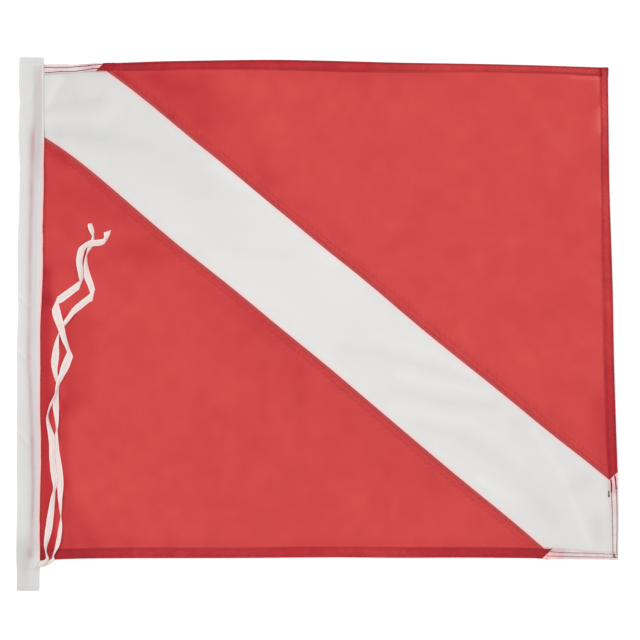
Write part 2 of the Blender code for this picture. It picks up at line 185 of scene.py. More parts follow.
def noise(x, y, wave, seed, squeeze=1.0, turn=0.0):
    """Smooth noise from -1 to 1. Its grains are `squeeze` times longer along `turn` than across it."""
    x = np.asarray(x, float)
    y = np.asarray(y, float)
    c, s = math.cos(turn), math.sin(turn)
    gx, gy = (x * c + y * s) / (wave * squeeze), (-x * s + y * c) / wave
    ix, iy = np.floor(gx), np.floor(gy)
    fx, fy = gx - ix, gy - iy
    fx = fx ** 3 * (fx * (fx * 6 - 15) + 10)
    fy = fy ** 3 * (fy * (fy * 6 - 15) + 10)
    a, b = lattice(ix, iy, seed), lattice(ix + 1, iy, seed)
    c2, d = lattice(ix, iy + 1, seed), lattice(ix + 1, iy + 1, seed)
    return (a * (1 - fx) + b * fx) * (1 - fy) + (c2 * (1 - fx) + d * fx) * fy


def along(points, step):
    """The points of a polyline, evenly spaced, with its own end points kept."""
    p = np.asarray(points, float)
    s = np.concatenate([[0], np.cumsum(np.linalg.norm(np.diff(p, axis=0), axis=1))])
    n = max(1, int(round(s[-1] / step)))
    w = np.linspace(0, s[-1], n + 1)
    return np.stack([np.interp(w, s, p[:, i]) for i in range(p.shape[1])], axis=1)


def rounded(points, step=6.0):
    """A polyline with its corners eased, so that an edge shows no kinks."""
    p = along(points, step)
    q = p.copy()
    for _ in range(12):
        q[1:-1] = q[1:-1] * 0.5 + (q[:-2] + q[2:]) * 0.25
    return q


def x_part(points, lo, hi, axis=0):
    """The stretch of a polyline between two values of x (or y), with both ends put in."""
    p = np.asarray(points, float)
    if p[0, axis] > p[-1, axis]:
        return x_part(p[::-1], lo, hi, axis)[::-1]
    other = 1 - axis
    keep = p[(p[:, axis] > lo + 0.3) & (p[:, axis] < hi - 0.3)]
    a, b = np.zeros(2), np.zeros(2)
    a[axis], b[axis] = lo, hi
    a[other], b[other] = np.interp(lo, p[:, axis], p[:, other]), np.interp(hi, p[:, axis], p[:, other])
    return np.vstack([a[None], keep, b[None]])


def segment_blob(x, y, ax, ay, bx, by, width):
    """1 on a line between two places, falling off to both sides and past the ends."""
    d = np.array((bx - ax, by - ay), float)
    n = float(d @ d)
    t = np.clip(((x - ax) * d[0] + (y - ay) * d[1]) / n, 0, 1)
    q = (x - ax - t * d[0]) ** 2 + (y - ay - t * d[1]) ** 2
    return np.exp(-q / width ** 2)


TOP_LINE, FLY_LINE, BOTTOM_LINE = rounded(TOP_EDGE), rounded(FLY_EDGE), rounded(BOTTOM_EDGE)
# the hem's fold stands out past the line that the cloth is folded on
TOP_LINE[:, 1] -= 0.15 + 0.65 * np.clip((TOP_LINE[:, 0] + 250) / 40, 0, 1) * np.clip((296 - TOP_LINE[:, 0]) / 6, 0.3, 1)
TOP_LINE[:, 1] -= np.interp(TOP_LINE[:, 0], [-280, -265, -255, -245, -235, -200, -160], [0, 0.3, 1.1, 1.1, 0.6, 0.4, 0])
TOP_LINE = np.vstack([[(-300.0, 265.2)], TOP_LINE])
BOTTOM_LINE = np.vstack([BOTTOM_LINE, [(-300.0, -242.1)]])


def top_y(x):
    return np.interp(x, TOP_LINE[:, 0], TOP_LINE[:, 1])


def bottom_y(x):
    return np.interp(x, BOTTOM_LINE[::-1, 0], BOTTOM_LINE[::-1, 1])


def fly_x(y):
    return np.interp(y, FLY_LINE[::-1, 1], FLY_LINE[::-1, 0])


def top_share(x):
    """How wide the hems are along the flag's edges, as a share of HEM_W. Hand-guided folding makes them vary."""
    return np.interp(x, [-290, -276, -255, -243, -228, -160, -120, -40, 20, 80, 135, 185, 245, 290],
                     [1.22, 1.18, 1.06, 0.96, 0.90, 0.98, 1.02, 1.20, 1.22, 1.13, 0.94, 0.87, 0.90, 0.97])


def fly_share(y):
    return np.interp(y, [-240, -232, -212, -175, -158, -120, 60, 95, 130, 168, 210, 250, 268],
                     [0.74, 0.78, 0.86, 1.00, 1.06, 1.20, 1.20, 1.08, 0.92, 0.88, 0.87, 0.93, 0.93])


def low_share(x):
    return np.interp(x, [-290, 200, 235, 255, 300, 312], [1.18, 1.20, 1.17, 1.10, 0.80, 0.74])


# ---------------------------------------------------------------- how the cloth lies

# low ridges and hollows of the laid cloth: two places in the picture, how high, how wide
RIDGES = [
    (56, 80, 47, 101, 0.9, 5.0), (50, 78, 43, 98, -0.5, 4.0), (64, 84, 84, 120, 0.5, 9.0),
    (120, 140, 166, 166, -0.7, 11.0), (104, 128, 150, 150, 0.5, 12.0), (196, 196, 268, 242, 0.6, 16.0),
    (340, 352, 430, 396, 0.7, 11.0), (356, 340, 470, 400, -0.5, 10.0), (420, 380, 505, 432, 0.6, 12.0),
    (520, 462, 575, 500, 0.6, 12.0), (248, 380, 246, 505, 0.4, 9.0), (318, 380, 324, 505, 0.4, 9.0),
    (75, 225, 160, 275, -0.6, 16.0), (60, 480, 104, 552, -0.5, 18.0), (110, 70, 228, 132, -0.6, 20.0),
    (590, 400, 604, 470, -0.5, 12.0), (300, 90, 420, 180, 0.5, 30.0), (440, 180, 540, 300, 0.5, 34.0),
]


def lay(x, y):
    """How high the cloth's own middle layer is over the floor."""
    h = 0.95 + 0.42 * noise(x, y, 95, 11, 1.5, -0.6) + 0.22 * noise(x, y, 46, 12, 1.6, -0.5)
    h = h + 0.07 * noise(x, y, 19, 13)
    for px, py, qx, qy, high, wide in RIDGES:
        ax, ay = at(px, py)
        bx, by = at(qx, qy)
        h = h + high * segment_blob(x, y, ax, ay, bx, by, wide)
    edge = np.minimum(np.minimum(top_y(x) - y, y - bottom_y(x)), fly_x(y) - x)
    h = h * (0.45 + 0.55 * smooth(-2, 26, edge))
    h = np.log1p(np.exp(np.clip(h, -8, 8) * 3.0)) / 3.0                # never under the floor
    open_cloth = smooth(-283.0, -268.0, x)
    tucked = 0.62 - 0.17 * smooth(-285.5, -290.0, x)
    return (0.45 + h) * open_cloth + tucked * (1 - open_cloth)


def band_lift(d, wide=8.6, high=0.62):
    """The red lies over the white along a seam, and comes down past the white's end."""
    return high * (1 - smooth(wide, wide + 4.2, d))


# ---------------------------------------------------------------- meshes

def make_object(name, verts, faces, layers=None, smooth_faces=True):
    mesh = bpy.data.meshes.new(name)
    v = np.asarray(verts, float) * 0.001
    mesh.from_pydata([tuple(p) for p in v.tolist()], [], faces)
    for key, values in (layers or {}).items():
        values = np.asarray(values, float)
        kind = "FLOAT_VECTOR" if values.ndim == 2 else "FLOAT"
        attr = mesh.attributes.new(key, kind, "POINT")
        attr.data.foreach_set("vector" if values.ndim == 2 else "value", values.astype(np.float32).ravel())
    mesh.validate()
    mesh.update()
    if smooth_faces:
        mesh.shade_smooth()
    obj = bpy.data.objects.new(name, mesh)
    bpy.context.scene.collection.objects.link(obj)
    return obj


def thicken(obj, thickness=CLOTH, offset=0.0):
    """Gives a cloth its thickness, and keeps the result as the mesh."""
    mod = obj.modifiers.new("thickness", "SOLIDIFY")
    mod.thickness = thickness * 0.001
    mod.offset = offset
    mod.use_even_offset = False
    graph = bpy.context.evaluated_depsgraph_get()
    mesh = bpy.data.meshes.new_from_object(obj.evaluated_get(graph), depsgraph=graph)
    old = obj.data
    obj.modifiers.clear()
    obj.data = mesh
    bpy.data.meshes.remove(old)
    mesh.name = obj.name
    mesh.shade_smooth()
    return obj


def inside(points, loop):
    """Which points are inside a closed outline."""
    x, y = points[:, 0], points[:, 1]
    res = np.zeros(len(points), bool)
    a = np.asarray(loop)
    b = np.roll(a, -1, axis=0)
    for (ax, ay), (bx, by) in zip(a, b):
        if ay == by:
            continue
        hit = ((ay > y) != (by > y)) & (x < (bx - ax) * (y - ay) / (by - ay) + ax)
        res ^= hit
    return res


def far_from(points, loop, step=3):
    """How far each point is from an outline."""
    a = np.asarray(loop)[::step]
    best = np.full(len(points), 1e9)
    for i in range(0, len(a), 64):
        part = a[i:i + 64]
        d = np.linalg.norm(points[:, None, :] - part[None], axis=2).min(axis=1)
        best = np.minimum(best, d)
    return best


def hexes(lo, hi, step):
    rows = np.arange(lo[1], hi[1], step * 0.866)
    pts = []
    for i, yy in enumerate(rows):
        xx = np.arange(lo[0] + (i % 2) * step / 2, hi[0], step)
        pts.append(np.stack([xx, np.full(len(xx), yy)], axis=1))
    return np.vstack(pts)


class Panel:
    """A flat-cut piece of cloth: one laid sheet, with strips of the same cloth folded over at its edges."""

    def __init__(self, sides, height, step=1.25, coarse=3.6):
        self.step = step
        loop, self.sides = [], {}
        for name, pts in sides:
            p = along(pts, step)
            start = len(loop)
            loop.extend(p[:-1].tolist())
            self.sides[name] = (start, len(p))
        loop = np.array(loop)
        n = len(loop)
        for name, (start, count) in list(self.sides.items()):
            self.sides[name] = [(start + i) % n for i in range(count)]
        lo, hi = loop.min(axis=0), loop.max(axis=0)
        picks = []
        for gap, near, far in ((1.6, 0.9, 4.0), (2.4, 4.0, 14.0), (coarse, 14.0, 1e9)):
            c = hexes(lo, hi, gap)
            c = c[inside(c, loop)]
            d = far_from(c, loop)
            picks.append(c[(d > near) & (d <= far)])
        every = np.vstack([loop] + picks)
        v, e, f, ov, oe, of = delaunay_2d_cdt([Vector(p) for p in every], [], [list(range(n))], 1, 1e-7)
        index = {}
        for i, src in enumerate(ov):
            for o in src:
                index[o] = i
        self.sides = {k: [index[i] for i in ids] for k, ids in self.sides.items()}
        xy = np.array([[p[0], p[1]] for p in v])
        z = height(xy[:, 0], xy[:, 1])
        self.verts = [tuple(p) for p in np.column_stack([xy, z])]
        self.laid = len(self.verts)
        self.faces = [list(q) for q in f]
        self.dense = np.zeros(len(xy)).tolist()
        self.own = np.zeros(len(xy)).tolist()
        self.rest = [tuple(p) for p in np.column_stack([xy, z])]

    def line(self, side):
        return np.array([self.verts[i] for i in self.sides[side]])

    def shift(self, side, inward):
        """Moves the points of a cut side that isn't folded inward a little."""
        ids = self.sides[side]
        p = np.array([self.verts[i] for i in ids])
        n = normals(p)
        for k, i in enumerate(ids[1:-1], 1):
            x, y, z = self.verts[i]
            self.verts[i] = (x + n[k, 0] * inward, y + n[k, 1] * inward, z)

    def strip(self, side, place, columns, dense=1.0, flip=False):
        """Adds the cloth that is folded over along a side. place(k, column) gives one column's points."""
        ids = self.sides[side]
        before = ids
        for c in range(columns):
            pts, thick, own = place(c)
            new = list(range(len(self.verts), len(self.verts) + len(pts)))
            self.verts.extend([tuple(p) for p in pts])
            self.rest.extend([tuple(p) for p in pts])
            self.dense.extend([dense * t for t in thick])
            self.own.extend(list(own))
            for k in range(len(ids) - 1):
                quad = [before[k], before[k + 1], new[k + 1], new[k]]
                self.faces.append(quad[::-1] if not flip else quad)
            before = new

    def build(self, name, extra=None, thickness=CLOTH):
        v = np.array(self.verts)
        layers = {"rest": np.array(self.rest) * 0.001, "dense": np.clip(self.dense, -1, 2)}
        for key, fn in (extra or {}).items():
            layers[key] = fn(v)
        if "shade" in layers:
            layers["shade"] = layers["shade"] + np.array(self.own)
        obj = make_object(name, v, self.faces, layers)
        return thicken(obj, thickness)


def normals(p):
    """Unit vectors to the left of a line's way."""
    t = np.gradient(p[:, :2], axis=0)
    t /= np.linalg.norm(t, axis=1)[:, None]
    return np.stack([-t[:, 1], t[:, 0]], axis=1)


class Hem:
    """A hem folded over on to the side that shows: the cloth comes round at the edge, lies to HEM_W, and turns under."""

    def __init__(self, edge, inward_left, ends=(0.0, 0.0), radius=None, lift=None, seed=1, rope=None, base=lay,
                 width=HEM_W, depth=None, share=None, painted_rim=0.0, rows=HEM_ROWS):
        self.rows = [r if callable(r) else (lambda s, r=r: r + 0 * np.asarray(s, float)) for r in rows]
        self.share = share if share is not None else (lambda x, y: np.ones(np.shape(x)))
        self.painted_rim = painted_rim if callable(painted_rim) else (lambda x, y: np.full(np.shape(x), float(painted_rim)))
        self.depth = depth if depth is not None else (lambda x, y: np.ones(np.shape(x)))
        self.p = np.asarray(edge, float)[:, :2]
        self.n = normals(self.p) * (1 if inward_left else -1)
        for _ in range(3):
            self.n[1:-1] = (self.n[1:-1] + (self.n[:-2] + self.n[2:]) * 0.5) * 0.5
        self.n /= np.linalg.norm(self.n, axis=1)[:, None]
        d = np.diff(self.p, axis=0)
        self.s = np.concatenate([[0], np.cumsum(np.linalg.norm(d, axis=1))])
        self.long = self.s[-1]
        self.t = np.gradient(self.p, axis=0)
        self.t /= np.linalg.norm(self.t, axis=1)[:, None]
        self.ends, self.seed, self.base, self.width = ends, seed, base, width
        self.radius = radius if radius is not None else (lambda s, x, y: np.full(np.shape(x), R_FOLD))
        self.lift = lift if lift is not None else (lambda s, x, y: np.zeros(np.shape(x)))
        self.rope = rope if rope is not None else (lambda s, x, y: np.zeros(np.shape(x)))
        w = width
        cols = [("arc", -90 + 30 * k) for k in range(1, 6)]
        cols += [("top", t) for t in (0, 0.5, 1.05, 1.6, 2.2, 2.8, 3.4, 4.2, 5.0, 5.6, 6.2, 6.8, 7.3, 7.7)
                 if t < w - 0.2] + [("top", w)]
        cols += [("turn", 90 - 45 * k) for k in (1, 2, 3)]
        cols += [("in", t) for t in (w, w - 1.6, w - 3.6, 2.6, 1.5)]
        self.cols = cols

    def frame_at(self, s):
        s = np.asarray(s, float)
        out = []
        for a in (self.p[:, 0], self.p[:, 1], self.n[:, 0], self.n[:, 1], self.t[:, 0], self.t[:, 1]):
            out.append(np.interp(s, self.s, a))
        return out

    def flat(self, s, t):
        """x and y of a place on the strip: s along the edge, t inward from it."""
        px, py, nx, ny, tx, ty = self.frame_at(s)
        k = np.clip(t, 0, None) / self.width
        t = np.where(np.asarray(t) > 0, t * self.share(px, py), t)
        near0, near1 = np.clip(1 - s / 45.0, 0, 1), np.clip(1 - (self.long - s) / 45.0, 0, 1)
        slide = k * (self.ends[0] * near0 + self.ends[1] * near1)
        return px + nx * t + tx * slide, py + ny * t + ty * slide

    def press(self, s, t):
        """How much the rows of stitches pull the layers together."""
        g = np.exp(-((t - self.rows[0](s)) / 0.75) ** 2) + np.exp(-((t - self.rows[1](s)) / 0.75) ** 2)
        return 1 - 0.34 * g * (0.8 + 0.2 * np.cos(2 * np.pi * np.asarray(s) / 3.0))

    def puckers(self, s, t, x, y):
        w = 0.13 * noise(s, t * 1.0, 4.6, self.seed, 0.55) + 0.10 * noise(s, t, 9.0, self.seed + 7, 0.8)
        rope = self.rope(s, x, y)
        wander = 2.4 * noise(s, t * 0.6, 15, self.seed + 3) + 0.8 * noise(s, t, 6, self.seed + 4)
        uneven = 0.62 + 0.55 * noise(s, t * 0.5, 13, self.seed + 5)
        w = w + rope * 0.34 * uneven * np.sin(2 * np.pi * (s + 0.9 * t + wander) / 5.4)
        return w

    def place(self, c, s=None):
        kind, value = self.cols[c]
        s = self.s if s is None else np.asarray(s, float)
        x0, y0 = self.flat(s, 0.0)
        r = self.radius(s, x0, y0)
        lift = self.lift(s, x0, y0)
        if kind == "arc":
            a = math.radians(value)
            t, up = -r * math.cos(a), r + r * math.sin(a)
            hem = 0.5 + 0.5 * math.sin(a)
        elif kind == "top":
            t, up, hem = np.full(len(s), float(value)), 2 * r, 1.0
        elif kind == "turn":
            a = math.radians(value)
            t, up = self.width + R_TURN * math.cos(a) + 0 * r, 2 * r - R_TURN + R_TURN * math.sin(a)
            hem = 1.0
        else:
            t, up, hem = np.full(len(s), float(value)), 2 * r - 2 * R_TURN, 0.9
        x, y = self.flat(s, t)
        tt = np.clip(t, 0, None)
        rise = up * self.press(s, tt) + hem * self.puckers(s, tt, x, y) * np.clip(tt / 1.5, 0.25, 1)
        # the turned end never pushes into the cloth below
        rise = np.maximum(rise, (0.26 if kind != "arc" else 0.0) * np.ones(len(s)))
        z = self.base(x, y) + rise + lift * np.clip(hem, 0, 1)
        if kind in ("in",):
            z = z - 0.02
        seen = hem if kind in ("arc", "top") else 0.0
        # painted shade on the hem's face: lighter and darker with its puckers, darker along the rows of stitches, and
        # darker on the folded edge itself
        own = seen * (0.40 * self.puckers(s, tt, x, y) - 0.05 * (1 - self.press(s, tt)) / 0.34)
        own = own - self.painted_rim(x, y) * np.exp(-(tt / 1.1) ** 2)
        return np.stack([x, y, z], axis=1), self.depth(x, y) * min(1.0, 0.35 + 0.65 * hem), own

    def top(self, s, t):
        """A place on the strip's upper face, for its stitches."""
        x, y = self.flat(s, t)
        x0, y0 = self.flat(s, 0.0)
        r = self.radius(s, x0, y0)
        rise = 2 * r * self.press(s, t) + self.puckers(s, np.asarray(t) + 0 * s, x, y)
        return np.stack([x, y, self.base(x, y) + np.maximum(rise, 0.26) + self.lift(s, x0, y0)], axis=1)


# ---------------------------------------------------------------- the three panels

# where the seams come to the flag's edges
u_s0 = meets("upper", -30.0, 60.0, lambda x, y: y > float(top_y(x)))
u_s1 = meets("upper", 500.0, 695.0, lambda x, y: x > float(fly_x(y)))
l_s0 = meets("lower", -39.0, 60.0, lambda x, y: x < float(raw_x(y)))
l_s1 = meets("lower", 500.0, 695.0, lambda x, y: y < float(bottom_y(x)))
u_line = on_seam("upper", np.linspace(u_s0, u_s1, 120), 0.0)
l_line = on_seam("lower", np.linspace(l_s0, l_s1, 120), 0.0)
u_start, u_end, l_start, l_end = u_line[0], u_line[-1], l_line[0], l_line[-1]
u_top_x, u_fly_y, l_bot_x, l_raw_y = u_start[0], u_end[1], l_end[0], l_start[1]

hem_u_x = float(at(103.3, 63.3)[0])                     # the mitres' outer ends
hem_u_y = float(at(616.6, 472.2)[1])
hem_l_x = float(at(542.6, 557.8)[0])


def upper_height(x, y):
    return lay(x, y) + band_lift(off_upper(x, y))


def lower_height(x, y):
    return lay(x, y) + band_lift(off_lower(x, y))


# upper red
top_red = x_part(TOP_LINE, hem_u_x, 294.75)
top_tuck = x_part(TOP_LINE, u_top_x, hem_u_x)
fly_red = x_part(FLY_LINE, hem_u_y, 267.4, axis=1)
fly_tuck = x_part(FLY_LINE, u_fly_y, hem_u_y, axis=1)
fly_red[0] = top_red[-1]
top_tuck[0], fly_tuck[-1] = u_start, u_end
upper = Panel([("tuck0", top_tuck), ("top", top_red), ("fly", fly_red), ("tuck1", fly_tuck),
               ("seam", u_line[::-1])], upper_height)

# lower red
bottom_red = x_part(BOTTOM_LINE, float(raw_x(-241)), hem_l_x)
bottom_tuck = x_part(BOTTOM_LINE, hem_l_x, l_bot_x)
bottom_tuck[0] = l_end
low_corner = bottom_red[-1]
raw_low = np.array([[raw_x(v), v] for v in np.linspace(low_corner[1], l_raw_y, 60)])
raw_low[0], raw_low[-1] = low_corner, l_start
lower = Panel([("seam", l_line), ("tuck", bottom_tuck), ("bottom", bottom_red),
               ("raw", raw_low)], lower_height)

# white stripe
w_top_x, w_fly_y, w_bot_x = hem_u_x + 1.6, hem_u_y + 1.6, hem_l_x - 1.6
top_white = x_part(TOP_LINE, float(raw_x(266)), w_top_x)
fly_white = x_part(FLY_LINE, -236.5, w_fly_y, axis=1)
bottom_white = x_part(BOTTOM_LINE, w_bot_x, 308.7)
w_u0, w_u1 = top_white[-1], fly_white[0]
fly_white[-1] = bottom_white[0]
w_l1 = bottom_white[-1]
w_l0 = np.array((float(raw_x(193.0)), 194.6))
under_u = np.vstack([[w_u0], on_seam("upper", np.linspace(50, 615, 60), 9.0), [w_u1]])
under_l = np.vstack([[w_l1], on_seam("lower", np.linspace(615, 20, 60), 9.0), [w_l0]])
raw_white = np.array([[raw_x(v), v] for v in np.linspace(w_l0[1], top_white[0][1], 12)])
raw_white[0], raw_white[-1] = w_l0, top_white[0]
stripe = Panel([("top", top_white), ("under_u", np.array(under_u)), ("fly", fly_white), ("bottom", bottom_white),
                ("under_l", np.array(under_l)), ("raw", raw_white)], lay)


def near(value, centre, reach, soft=4.0):
    return 1 - smooth(reach, reach + soft, np.abs(np.asarray(value, float) - centre))


def seam_stack(x, y):
    """The seams' extra layers inside a hem."""
    return np.maximum(near(off_upper(x, y), 4.5, 5.0, 3.5), near(off_lower(x, y), 4.5, 5.0, 3.5))


def hem_radius(s, x, y):
    corner_tr = smooth(254, 260, y) * smooth(280, 293.5, x)
    corner_br = smooth(296, 301.5, x) * smooth(-218, -230, y)
    return R_FOLD + 0.30 * seam_stack(x, y) + 0 * corner_tr + 0 * corner_br


def fly_radius(s, x, y):
    return hem_radius(s, x, y) + 0.44 * smooth(255.5, 260.5, y)


def bottom_radius(s, x, y):
    return hem_radius(s, x, y) + 0.44 * smooth(297, 302, x)


def rope_top(s, x, y):
    return 0.25 * smooth(150, 250, x) + 0.6 * smooth(215, 240, x) + 0.2 * near(x, -150, 40, 40)


def rope_fly(s, x, y):
    return 0.75 * smooth(175, 210, y) + 0.2 * near(y, 90, 40, 30) + 0.15


def rope_bottom(s, x, y):
    return 0.2 + 0.25 * near(x, 120, 50, 40) + 0.25 * near(x, -160, 40, 40)


def red_depth(x, y):
    """How deep the red of a hem looks along each edge, from 0.05 up to 1.9: 1 is the doubled red, and above it the red
    goes darker still.
    """
    down, left, up = top_y(x) - y, fly_x(y) - x, y - bottom_y(x)
    top = np.interp(x, [-228, -200, -172, -120, -20, 84, 135, 185, 246, 290],
                    [1.75, 1.50, 1.18, 0.98, 1.05, 0.82, 0.50, 0.62, 0.48, 0.66])
    top = top + np.interp(x, [-200, -120, 20], [0.35, 0.22, 0.0]) * (1 - smooth(2.0, 5.5, down)) - 0.05
    fly = np.interp(y, [-165, -139, -119, -78, -27, 25, 76, 110, 127, 150, 168, 190, 209, 230, 250, 262],
                    [1.50, 1.42, 1.22, 1.08, 0.76, 0.60, 0.62, 0.42, 0.36, 0.70, 0.88, 0.50, 0.25, 0.20, 0.48, 0.60])
    low = np.interp(x, [-280, -244, -223, -172, -70, 2, 84, 135, 186, 217, 240],
                    [1.72, 1.56, 1.24, 0.92, 0.90, 0.92, 0.76, 1.05, 1.12, 1.50, 1.65])
    out = np.where(left < np.minimum(down, up), fly, np.where(down < up, top, low))
    # painted shadow: the dark line where the fly hem's turned end casts shade goes on up over the top hem at the corner
    out = out + 1.1 * segment_blob(x, y, *at(600.7, 68.5), *at(601.3, 75.5), 1.2)
    return np.clip(out + 0.12 * noise(x, y, 22, 301) + 0.14 * noise(x, y, 5, 302), 0.05, 1.9)


def rim_shade_top(x, y):
    """Painted shade on the folded edge itself, where the cloth turns away from the light: how dark it is along the top
    hem.
    """
    return np.interp(x, [-280, -60, -20, 60, 140, 200, 245, 285], [0.17, 0.16, 0.30, 0.30, 0.42, 0.30, 0.15, 0.42])


# painted shade on the fly hem's folded edge, the same way
def rim_shade_fly(x, y):
    return np.interp(y, [-160, -30, 60, 120, 155, 175, 195, 266], [0.16, 0.20, 0.25, 0.24, 0.08, 0.08, 0.28, 0.36])


def white_depth(x, y):
    """How pink the white hems look, from the red cloth folded in near the seams and the thread that shows through."""
    deep = 0.42 + (0.34 * near(x, float(at(93, 68)[0]), 6, 10) - 0.06) * (y > 200)
    deep = deep + 0.40 * smooth(float(at(612, 500)[1]), float(at(612, 488)[1]), y) * (x > 280)
    deep = deep - 0.14 * smooth(float(at(612, 488)[1]), float(at(612, 498)[1]), y) * (x > 296) * (y < -150)
    deep = deep + 0.40 * near(x, hem_l_x + 10, 8, 8) * (y < 0)
    return np.clip(deep + 0.10 * noise(x, y, 9, 303), 0.0, 1.0)


mit_u0 = float(at(95.9, 69.6)[0] - at(103.3, 63.3)[0])
mit_u1 = float(at(609.7, 479.7)[1] - at(616.6, 472.2)[1])
mit_l0 = float(at(551.8, 549.7)[0] - at(542.6, 557.8)[0])

hem_top_red = Hem(upper.line("top"), False, ends=(mit_u0, 0), radius=hem_radius, seed=21, rope=rope_top, depth=red_depth,
                  share=lambda x, y: top_share(x), painted_rim=rim_shade_top,
                  rows=(lambda s: np.interp(s, [0, 40, 120], [2.2, 1.6, 1.1]),
                        lambda s: np.interp(s, [0, 40, 120], [6.2, 6.3, 6.6])),
                  lift=lambda s, x, y: 0.30 * near(s, 0, 6, 10))
hem_fly_red = Hem(upper.line("fly"), False, ends=(0, -mit_u1), radius=fly_radius, seed=22, rope=rope_fly, depth=red_depth,
                  share=lambda x, y: fly_share(y), painted_rim=rim_shade_fly,
                  rows=(lambda s: np.interp(s, [380, 415], [1.0, 1.6]),
                        lambda s: np.interp(s, [160, 260, 350, 415], [6.9, 6.3, 6.2, 6.6])),
                  lift=lambda s, x, y: 0.30 * near(y, hem_u_y, 6, 10))
hem_top_white = Hem(stripe.line("top"), False, ends=(0, mit_u0), radius=hem_radius, seed=23, depth=white_depth,
                    share=lambda x, y: top_share(x),
                    rows=(lambda s: np.interp(s, [0, 10, 17, 28, 35, 41, 47, 53, 60],
                                              [2.2, 2.3, 2.7, 2.7, 2.3, 1.8, 1.8, 1.6, 1.0]),
                          lambda s: np.interp(s, [0, 10, 22, 32, 41, 53, 60], [6.8, 6.8, 6.4, 6.6, 6.6, 6.1, 5.4])))
hem_fly_white = Hem(stripe.line("fly"), False, ends=(-mit_u1, 0), radius=hem_radius, seed=24, depth=white_depth,
                    share=lambda x, y: fly_share(y),
                    rows=(lambda s: np.interp(s, [3, 9, 20, 35, 55, 70], [2.5, 1.8, 1.5, 1.0, 1.0, 1.3]),
                          lambda s: np.interp(s, [3, 10, 20], [6.3, 5.9, 6.2])))
hem_bottom_white = Hem(stripe.line("bottom"), False, ends=(0, -mit_l0), radius=bottom_radius, seed=25,
                       depth=white_depth, share=lambda x, y: low_share(x),
                       rows=(lambda s: np.interp(s, [28, 46, 60, 75], [2.2, 1.95, 1.8, 1.9]),
                             lambda s: np.interp(s, [28, 46, 60, 75], [6.2, 5.55, 5.4, 5.6])))
hem_bottom_red = Hem(lower.line("bottom"), False, ends=(-mit_l0, 0), radius=hem_radius, seed=26, rope=rope_bottom, depth=red_depth,
                     share=lambda x, y: low_share(x), painted_rim=0.14,
                     lift=lambda s, x, y: 0.30 * near(s, 0, 6, 10))

for panel, side, hem in ((upper, "top", hem_top_red), (upper, "fly", hem_fly_red), (stripe, "top", hem_top_white),
                         (stripe, "fly", hem_fly_white), (stripe, "bottom", hem_bottom_white),
                         (lower, "bottom", hem_bottom_red)):
    panel.strip(side, hem.place, len(hem.cols))


class Lap:
    """A red panel's edge along a seam, turned under itself and sewn over the white."""

    def __init__(self, line, inward_left, base, ends, seed):
        self.p = np.asarray(line, float)[:, :2]
        self.n = normals(self.p) * (1 if inward_left else -1)
        self.t = np.gradient(self.p, axis=0)
        self.t /= np.linalg.norm(self.t, axis=1)[:, None]
        self.s = np.concatenate([[0], np.cumsum(np.linalg.norm(np.diff(self.p, axis=0), axis=1))])
        self.base, self.ends, self.seed = base, ends, seed
        self.cols = [("turn", 45), ("turn", 0), ("turn", -45), ("in", 0.0), ("in", 2.2), ("in", 4.6), ("in", 7.2)]

    def place(self, c):
        kind, value = self.cols[c]
        r = 0.15
        if kind == "turn":
            a = math.radians(value)
            t, down = -r * math.cos(a), r - r * math.sin(a)
        else:
            t, down = value, 2 * r
        long = self.s[-1]
        near0, near1 = np.clip(1 - self.s / 30.0, 0, 1), np.clip(1 - (long - self.s) / 30.0, 0, 1)
        slide = max(t, 0) * (self.ends[0] * near0 + self.ends[1] * near1)
        q = self.p + self.n * t + self.t * slide[:, None]
        z = self.base(q[:, 0], q[:, 1]) + band_lift(np.full(len(q), max(t, 0.0))) - down
        return np.column_stack([q, z]), np.full(len(q), 0.9), np.zeros(len(q))


lap_upper = Lap(upper.line("seam"), False, lay, (0.8, -1.25), 31)
lap_lower = Lap(lower.line("seam"), False, lay, (0.0, -0.9), 32)
upper.strip("seam", lap_upper.place, len(lap_upper.cols))
lower.strip("seam", lap_lower.place, len(lap_lower.cols))


def pucker_band(panel, off, seed):
    """Short slanting puckers beside the rows of a seam, and the cloth drawn down along each row."""
    v = np.array(panel.verts[:panel.laid])
    d = off(v[:, 0], v[:, 1])
    s = v[:, 0] * U_DIR[0] + v[:, 1] * U_DIR[1]
    on = (1 - smooth(9.5, 15.0, d)) * smooth(-0.5, 1.2, d)
    w = 0.16 * noise(s, d, 4.4, seed, 0.7) + 0.12 * np.sin(2 * np.pi * (s + 0.8 * d) / 6.1 + 2 * noise(s, d, 30, seed + 1))
    drop = -0.20 * (np.exp(-((d - SEAM_ROWS[0]) / 0.7) ** 2) + np.exp(-((d - SEAM_ROWS[1]) / 0.8) ** 2))
    v[:, 2] += on * (w * smooth(0.3, 2.5, d) + drop)
    v[:, 2] += 0.10 * noise(s, d, 7.5, seed + 2, 0.8) * smooth(8, 11, d) * (1 - smooth(14, 30, d))
    panel.verts[:panel.laid] = [tuple(p) for p in v]
